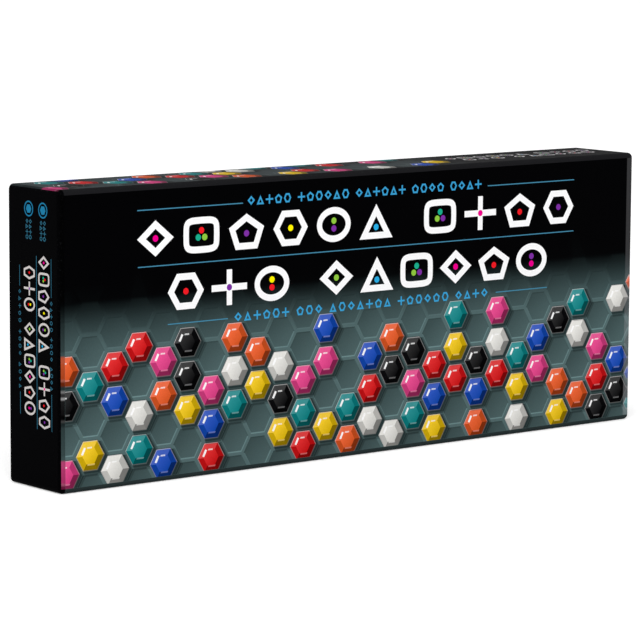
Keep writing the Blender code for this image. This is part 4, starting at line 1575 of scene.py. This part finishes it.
@dataclass
class RulesLeaflet:
    """The rules: one sheet folded once, with plain grey bars as print on its two outer faces."""

    node: str = "rules_leaflet"
    body: str = "leaflet"
    sheet: float = 0.4
    fold_steps: int = 8
    margin: float = 8.0
    heading: float = 6.0
    first_line: float = 12.0
    line_pitch: float = 3.1
    line: float = 1.0
    space: float = 1.3
    words: int = 40
    word_widths: tuple[float, float] = (2.5, 10.0)
    paragraph: int = 7
    last_lines: tuple[float, float] = (0.3, 0.8)
    field_height: float = 30.0
    field_space: float = 34.0
    spot: float = 4.4
    spot_low: float = 4.5
    spot_pitch: float = 7.0
    spot_counts: tuple[int, int] = (9, 4)
    seed: int = 5

    def page(self, width: float, height: float, turned: bool) -> Print:
        """Print a page: a dark heading bar, two columns of grey bars and a field of coloured spots.

        Args:
            width: the page's width.
            height: its height.
            turned: true where the field stands under the second column.

        Returns:
            The page's print.
        """
        paper = rgb(Ink.PAPER)
        sheet = Print(np.zeros(2), np.array([width, height]), paper, paper)
        rng = np.random.default_rng(self.seed + turned)
        half = (width - 3 * self.margin) / 2
        top = height - self.margin
        heading = (width / 2, top - self.heading / 2)
        sheet.bar(heading, (width - 2 * self.margin, self.heading), Ink.PRINT_DARK)
        for column in range(2):
            left = self.margin + column * (half + self.margin)
            floor = self.margin + (column == turned) * self.field_space
            for number, high in enumerate(np.arange(top - self.first_line, floor, -self.line_pitch)):
                last = (number + 1) % self.paragraph == 0
                full = half * (rng.uniform(*self.last_lines) if last else 1.0)
                ends = np.cumsum(rng.uniform(*self.word_widths, self.words) + self.space)
                for start, end in zip(np.concatenate([[0.0], ends]), ends[ends < full]):
                    word = end - self.space - start
                    sheet.bar((left + start + word / 2, high), (word, self.line), Ink.PRINT_GREY)
        corner = np.array([self.margin + turned * (half + self.margin), self.margin])
        sheet.bar(corner + [half / 2, self.field_height / 2], (half, self.field_height), Ink.SLATE)
        for column, row in itertools.product(*map(range, self.spot_counts)):
            ink = PEG_INKS[int(rng.integers(len(PEG_INKS)))]
            across = half * (column + 1) / (self.spot_counts[0] + 1)
            centre = corner + [across, self.spot_low + self.spot_pitch * row]
            sheet.lay(centre + disc(self.spot, 12), ink)
        return sheet

    def stand(self, line: Array, bottom: float, top: float) -> Array:
        """Return a grid of two columns: (n, 2) numbers with one third number, and with another."""
        return np.stack([np.insert(line, 2, level, axis=1) for level in (bottom, top)], 1)

    def build(self) -> bpy.types.Object:
        """Build the leaflet as one closed folded sheet.

        Its section runs along the front leaf, round the fold in a half circle and back along the
        other leaf, and inside it the same way at one sheet's distance.

        Returns:
            The leaflet, riding on its body in place of its CAD node.
        """
        low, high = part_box(self.node)
        size = (high - low) / MM
        radius, height = size.y / 2, size.z
        straight = size.x - radius
        ways = directions(np.linspace(-math.pi / 2, math.pi / 2, self.fold_steps + 1))
        patches, white = Patchwork(), rgb(Ink.PAPER)
        rings = []
        for reach in (radius, radius - self.sheet):
            arc = np.array([straight, radius]) + reach * ways
            rings.append(np.concatenate([[[0.0, arc[0, 1]]], arc, [[0.0, arc[-1, 1]]]]))
        across = np.concatenate([[[0.0, -1.0]], ways, [[0.0, 1.0]]])
        for ring, side, part in ((rings[0], 1.0, slice(1, -1)), (rings[1], -1.0, slice(None))):
            outward = self.stand(side * across[part], 0.0, 0.0)
            patches.add_grid(self.stand(ring[part], 0.0, height), white, outward)
        for level, way in ((0.0, -1.0), (height, 1.0)):
            cap = np.stack([np.insert(ring, 2, level, axis=1) for ring in rings])
            patches.add_grid(cap, white, np.array([0.0, 0.0, way]), rounded=False)
        for number in (0, -1):
            strip = self.stand(np.array([ring[number] for ring in rings]), 0.0, height)
            patches.add_grid(strip, white, np.array([-1.0, 0.0, 0.0]), rounded=False)
        ends = np.array([0.0, straight]), np.array([0.0, height])
        for number, turned in ((0, False), (-1, True)):
            flat, faces, inks = self.page(straight, height, turned).partition(*ends)
            points = np.insert(flat, 1, rings[0][number][1], axis=1)
            step = -1 if turned else 1
            patches.add(points, faces[:, ::step], inks[:, ::step])
        mesh = patches.mesh("printed_leaflet", low)
        material = OffsetPrint("uncoated_printed_paper", 0.85, 0.2, 0.35).material()
        return add_piece(mesh, material, self.body, self.node)


@dataclass(frozen=True)
class CarriedPieces:
    """The pieces whose CAD shape stays, and their finishes."""

    base: str = "box_base"
    base_wall: float = 1.6
    turn_in: float = 15.0

    def lined_space(self) -> tuple[Vector, Vector]:
        """Find the base's lined space: half a wall in, and below the turn-in.

        Returns:
            Its two corners.
        """
        low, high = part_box(self.base)
        skin = Vector((1.0, 1.0, 1.0)) * (0.5 * self.base_wall * MM)
        return low + Vector((skin.x, self.turn_in * MM, skin.z)), high - skin

    def finishes(self) -> dict[str, Finish]:
        """Choose each piece's finish.

        Returns:
            The finish by the CAD node's name.
        """
        return {
            self.base: WrappedBoard("black_wrapped_board", "#0F0F11", self.lined_space()),
            "insert_tray": INSERT_PLASTIC,
            "game_board": BOARD_PLASTIC,
            "code_shield": SHIELD_PLASTIC,
        }

    def dress(self) -> list[bpy.types.Object]:
        """Assign the finishes to the nodes' material slots.

        Returns:
            The dressed nodes.
        """
        finishes = self.finishes()
        for name, finish in finishes.items():
            for material_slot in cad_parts[name].material_slots:
                material_slot.material = finish.material()
        return [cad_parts[name] for name in finishes]


@dataclass
class Studio:
    """A white sweep, an even sky and one soft lamp at the upper left, in metres."""

    sky: float = 0.8
    floor_hex: str = "#F2F2F2"
    floor_lift: float = 0.3
    floor_half: float = 30.0
    floor_drop: float = 0.1 * MM
    lamp_watts: float = 28.0
    lamp_size: tuple[float, float] = (1.5, 1.1)
    lamp_place: tuple[float, float, float] = (-1.5, -1.7, 1.7)
    lamp_aim: tuple[float, float, float] = (0.0, 0.0, 0.05)

    def seen(self, tree: Tree) -> Socket:
        """Pick the rays that show the background: camera, mirror and through-going ones.

        Args:
            tree: the node tree that asks.

        Returns:
            1 for such a ray, and 0 for the others.
        """
        rays = add_node(tree, "LightPath").outputs
        shown = rays["Is Camera Ray"]
        for name in ("Is Glossy Ray", "Is Transmission Ray"):
            shown = add_node(tree, "Math", {0: shown, 1: rays[name]}, operation="MAXIMUM").outputs[0]
        return shown

    def build_world(self) -> None:
        """Make the world: white where it is seen, and a level sky where it lights."""
        world = bpy.data.worlds.new("studio_sky")
        tree = cleared(world)
        level = add_node(tree, "MapRange", {"Value": self.seen(tree), "To Min": self.sky, "To Max": 1.0})
        light = {"Color": (1.0, 1.0, 1.0, 1.0), "Strength": level.outputs["Result"]}
        add_node(tree, "OutputWorld", {"Surface": add_node(tree, "Background", light).outputs[0]})
        bpy.context.scene.world = world

    def build_floor(self) -> None:
        """Make the floor: matt white paper that keeps the box's shadow and is lifted to white."""
        places = np.insert(self.floor_half * SQUARE, 2, -self.floor_drop, axis=1)
        mesh = bpy.data.meshes.new("paper_floor")
        mesh.from_pydata(places, [], [[0, 1, 2, 3]])
        floor = bpy.data.objects.new("paper_floor", mesh)
        bpy.context.scene.collection.objects.link(floor)
        material = bpy.data.materials.new("matt_background_paper")
        tree = cleared(material)
        paper = add_node(tree, "BsdfDiffuse", {"Color": linear(self.floor_hex), "Roughness": 0.5})
        lift = add_node(tree, "Math", {0: self.seen(tree), 1: self.floor_lift}, operation="MULTIPLY")
        glow = add_node(tree, "Emission", {"Strength": lift.outputs[0]})
        both = add_node(tree, "AddShader", {0: paper.outputs[0], 1: glow.outputs[0]})
        add_node(tree, "OutputMaterial", {"Surface": both.outputs[0]})
        mesh.materials.append(material)

    def build_lamp(self) -> None:
        """Hang the soft lamp at the upper left in front of the box."""
        data = bpy.data.lights.new("soft_box", "AREA")
        data.shape = "RECTANGLE"
        data.size, data.size_y = self.lamp_size
        data.energy = self.lamp_watts
        lamp = bpy.data.objects.new("soft_box", data)
        lamp.location = self.lamp_place
        lamp.rotation_mode = "QUATERNION"
        lamp.rotation_quaternion = (Vector(self.lamp_aim) - lamp.location).to_track_quat("-Z", "Y")
        bpy.context.scene.collection.objects.link(lamp)


@dataclass(frozen=True)
class PhotoCamera:
    """The camera at the photograph's viewing angle, on a frame of 640 by 640."""

    place: tuple[float, float, float] = (-0.97677, -1.20148, 0.26841)
    azimuth: float = 38.7884
    elevation: float = 7.6154
    roll: float = -0.3207
    lens: float = 186.62

    def build(self) -> None:
        """Make the camera and set it as the scene's.

        The view direction is turned from +Y by the azimuth and tilted down by the elevation. The
        image's right and down directions are turned about it by the roll.
        """
        turn, tilt, roll = (math.radians(value) for value in (self.azimuth, self.elevation, self.roll))
        ahead = Vector((math.sin(turn) * math.cos(tilt), math.cos(turn) * math.cos(tilt), -math.sin(tilt)))
        level = Vector((math.cos(turn), -math.sin(turn), 0.0))
        steep = ahead.cross(level)
        right = level * math.cos(roll) + steep * math.sin(roll)
        down = steep * math.cos(roll) - level * math.sin(roll)
        data = bpy.data.cameras.new("photo_camera")
        data.sensor_fit, data.sensor_width, data.lens = "AUTO", 36.0, self.lens
        data.clip_start, data.clip_end = 0.05, 100.0
        camera = bpy.data.objects.new("photo_camera", data)
        axes = Matrix((right, -down, -ahead)).transposed()
        camera.matrix_world = Matrix.Translation(self.place) @ axes.to_4x4()
        bpy.context.scene.collection.objects.link(camera)
        bpy.context.scene.camera = camera


def corners(bounds: Sequence[Vector]) -> list[list[float]]:
    """Return two corners as plain lists of numbers."""
    return [[float(part) for part in corner] for corner in bounds]


def main() -> None:
    """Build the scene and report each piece."""
    logging.basicConfig(level=logging.INFO, format="%(name)s: %(message)s", stream=sys.stdout)
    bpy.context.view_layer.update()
    PhotoCamera().build()
    studio = Studio()
    studio.build_world()
    studio.build_floor()
    studio.build_lamp()
    pieces = [*CarriedPieces().dress(), PrintedLid().build(), *Pegs().build()]
    pieces += [*BoardRelief().build(), RulesLeaflet().build()]
    for piece in pieces:
        LOG.info("%s: %d faces", piece.name, len(piece.data.polygons))
    bpy.context.scene.view_settings.view_transform = "Standard"


if __name__ == "__main__":
    main()
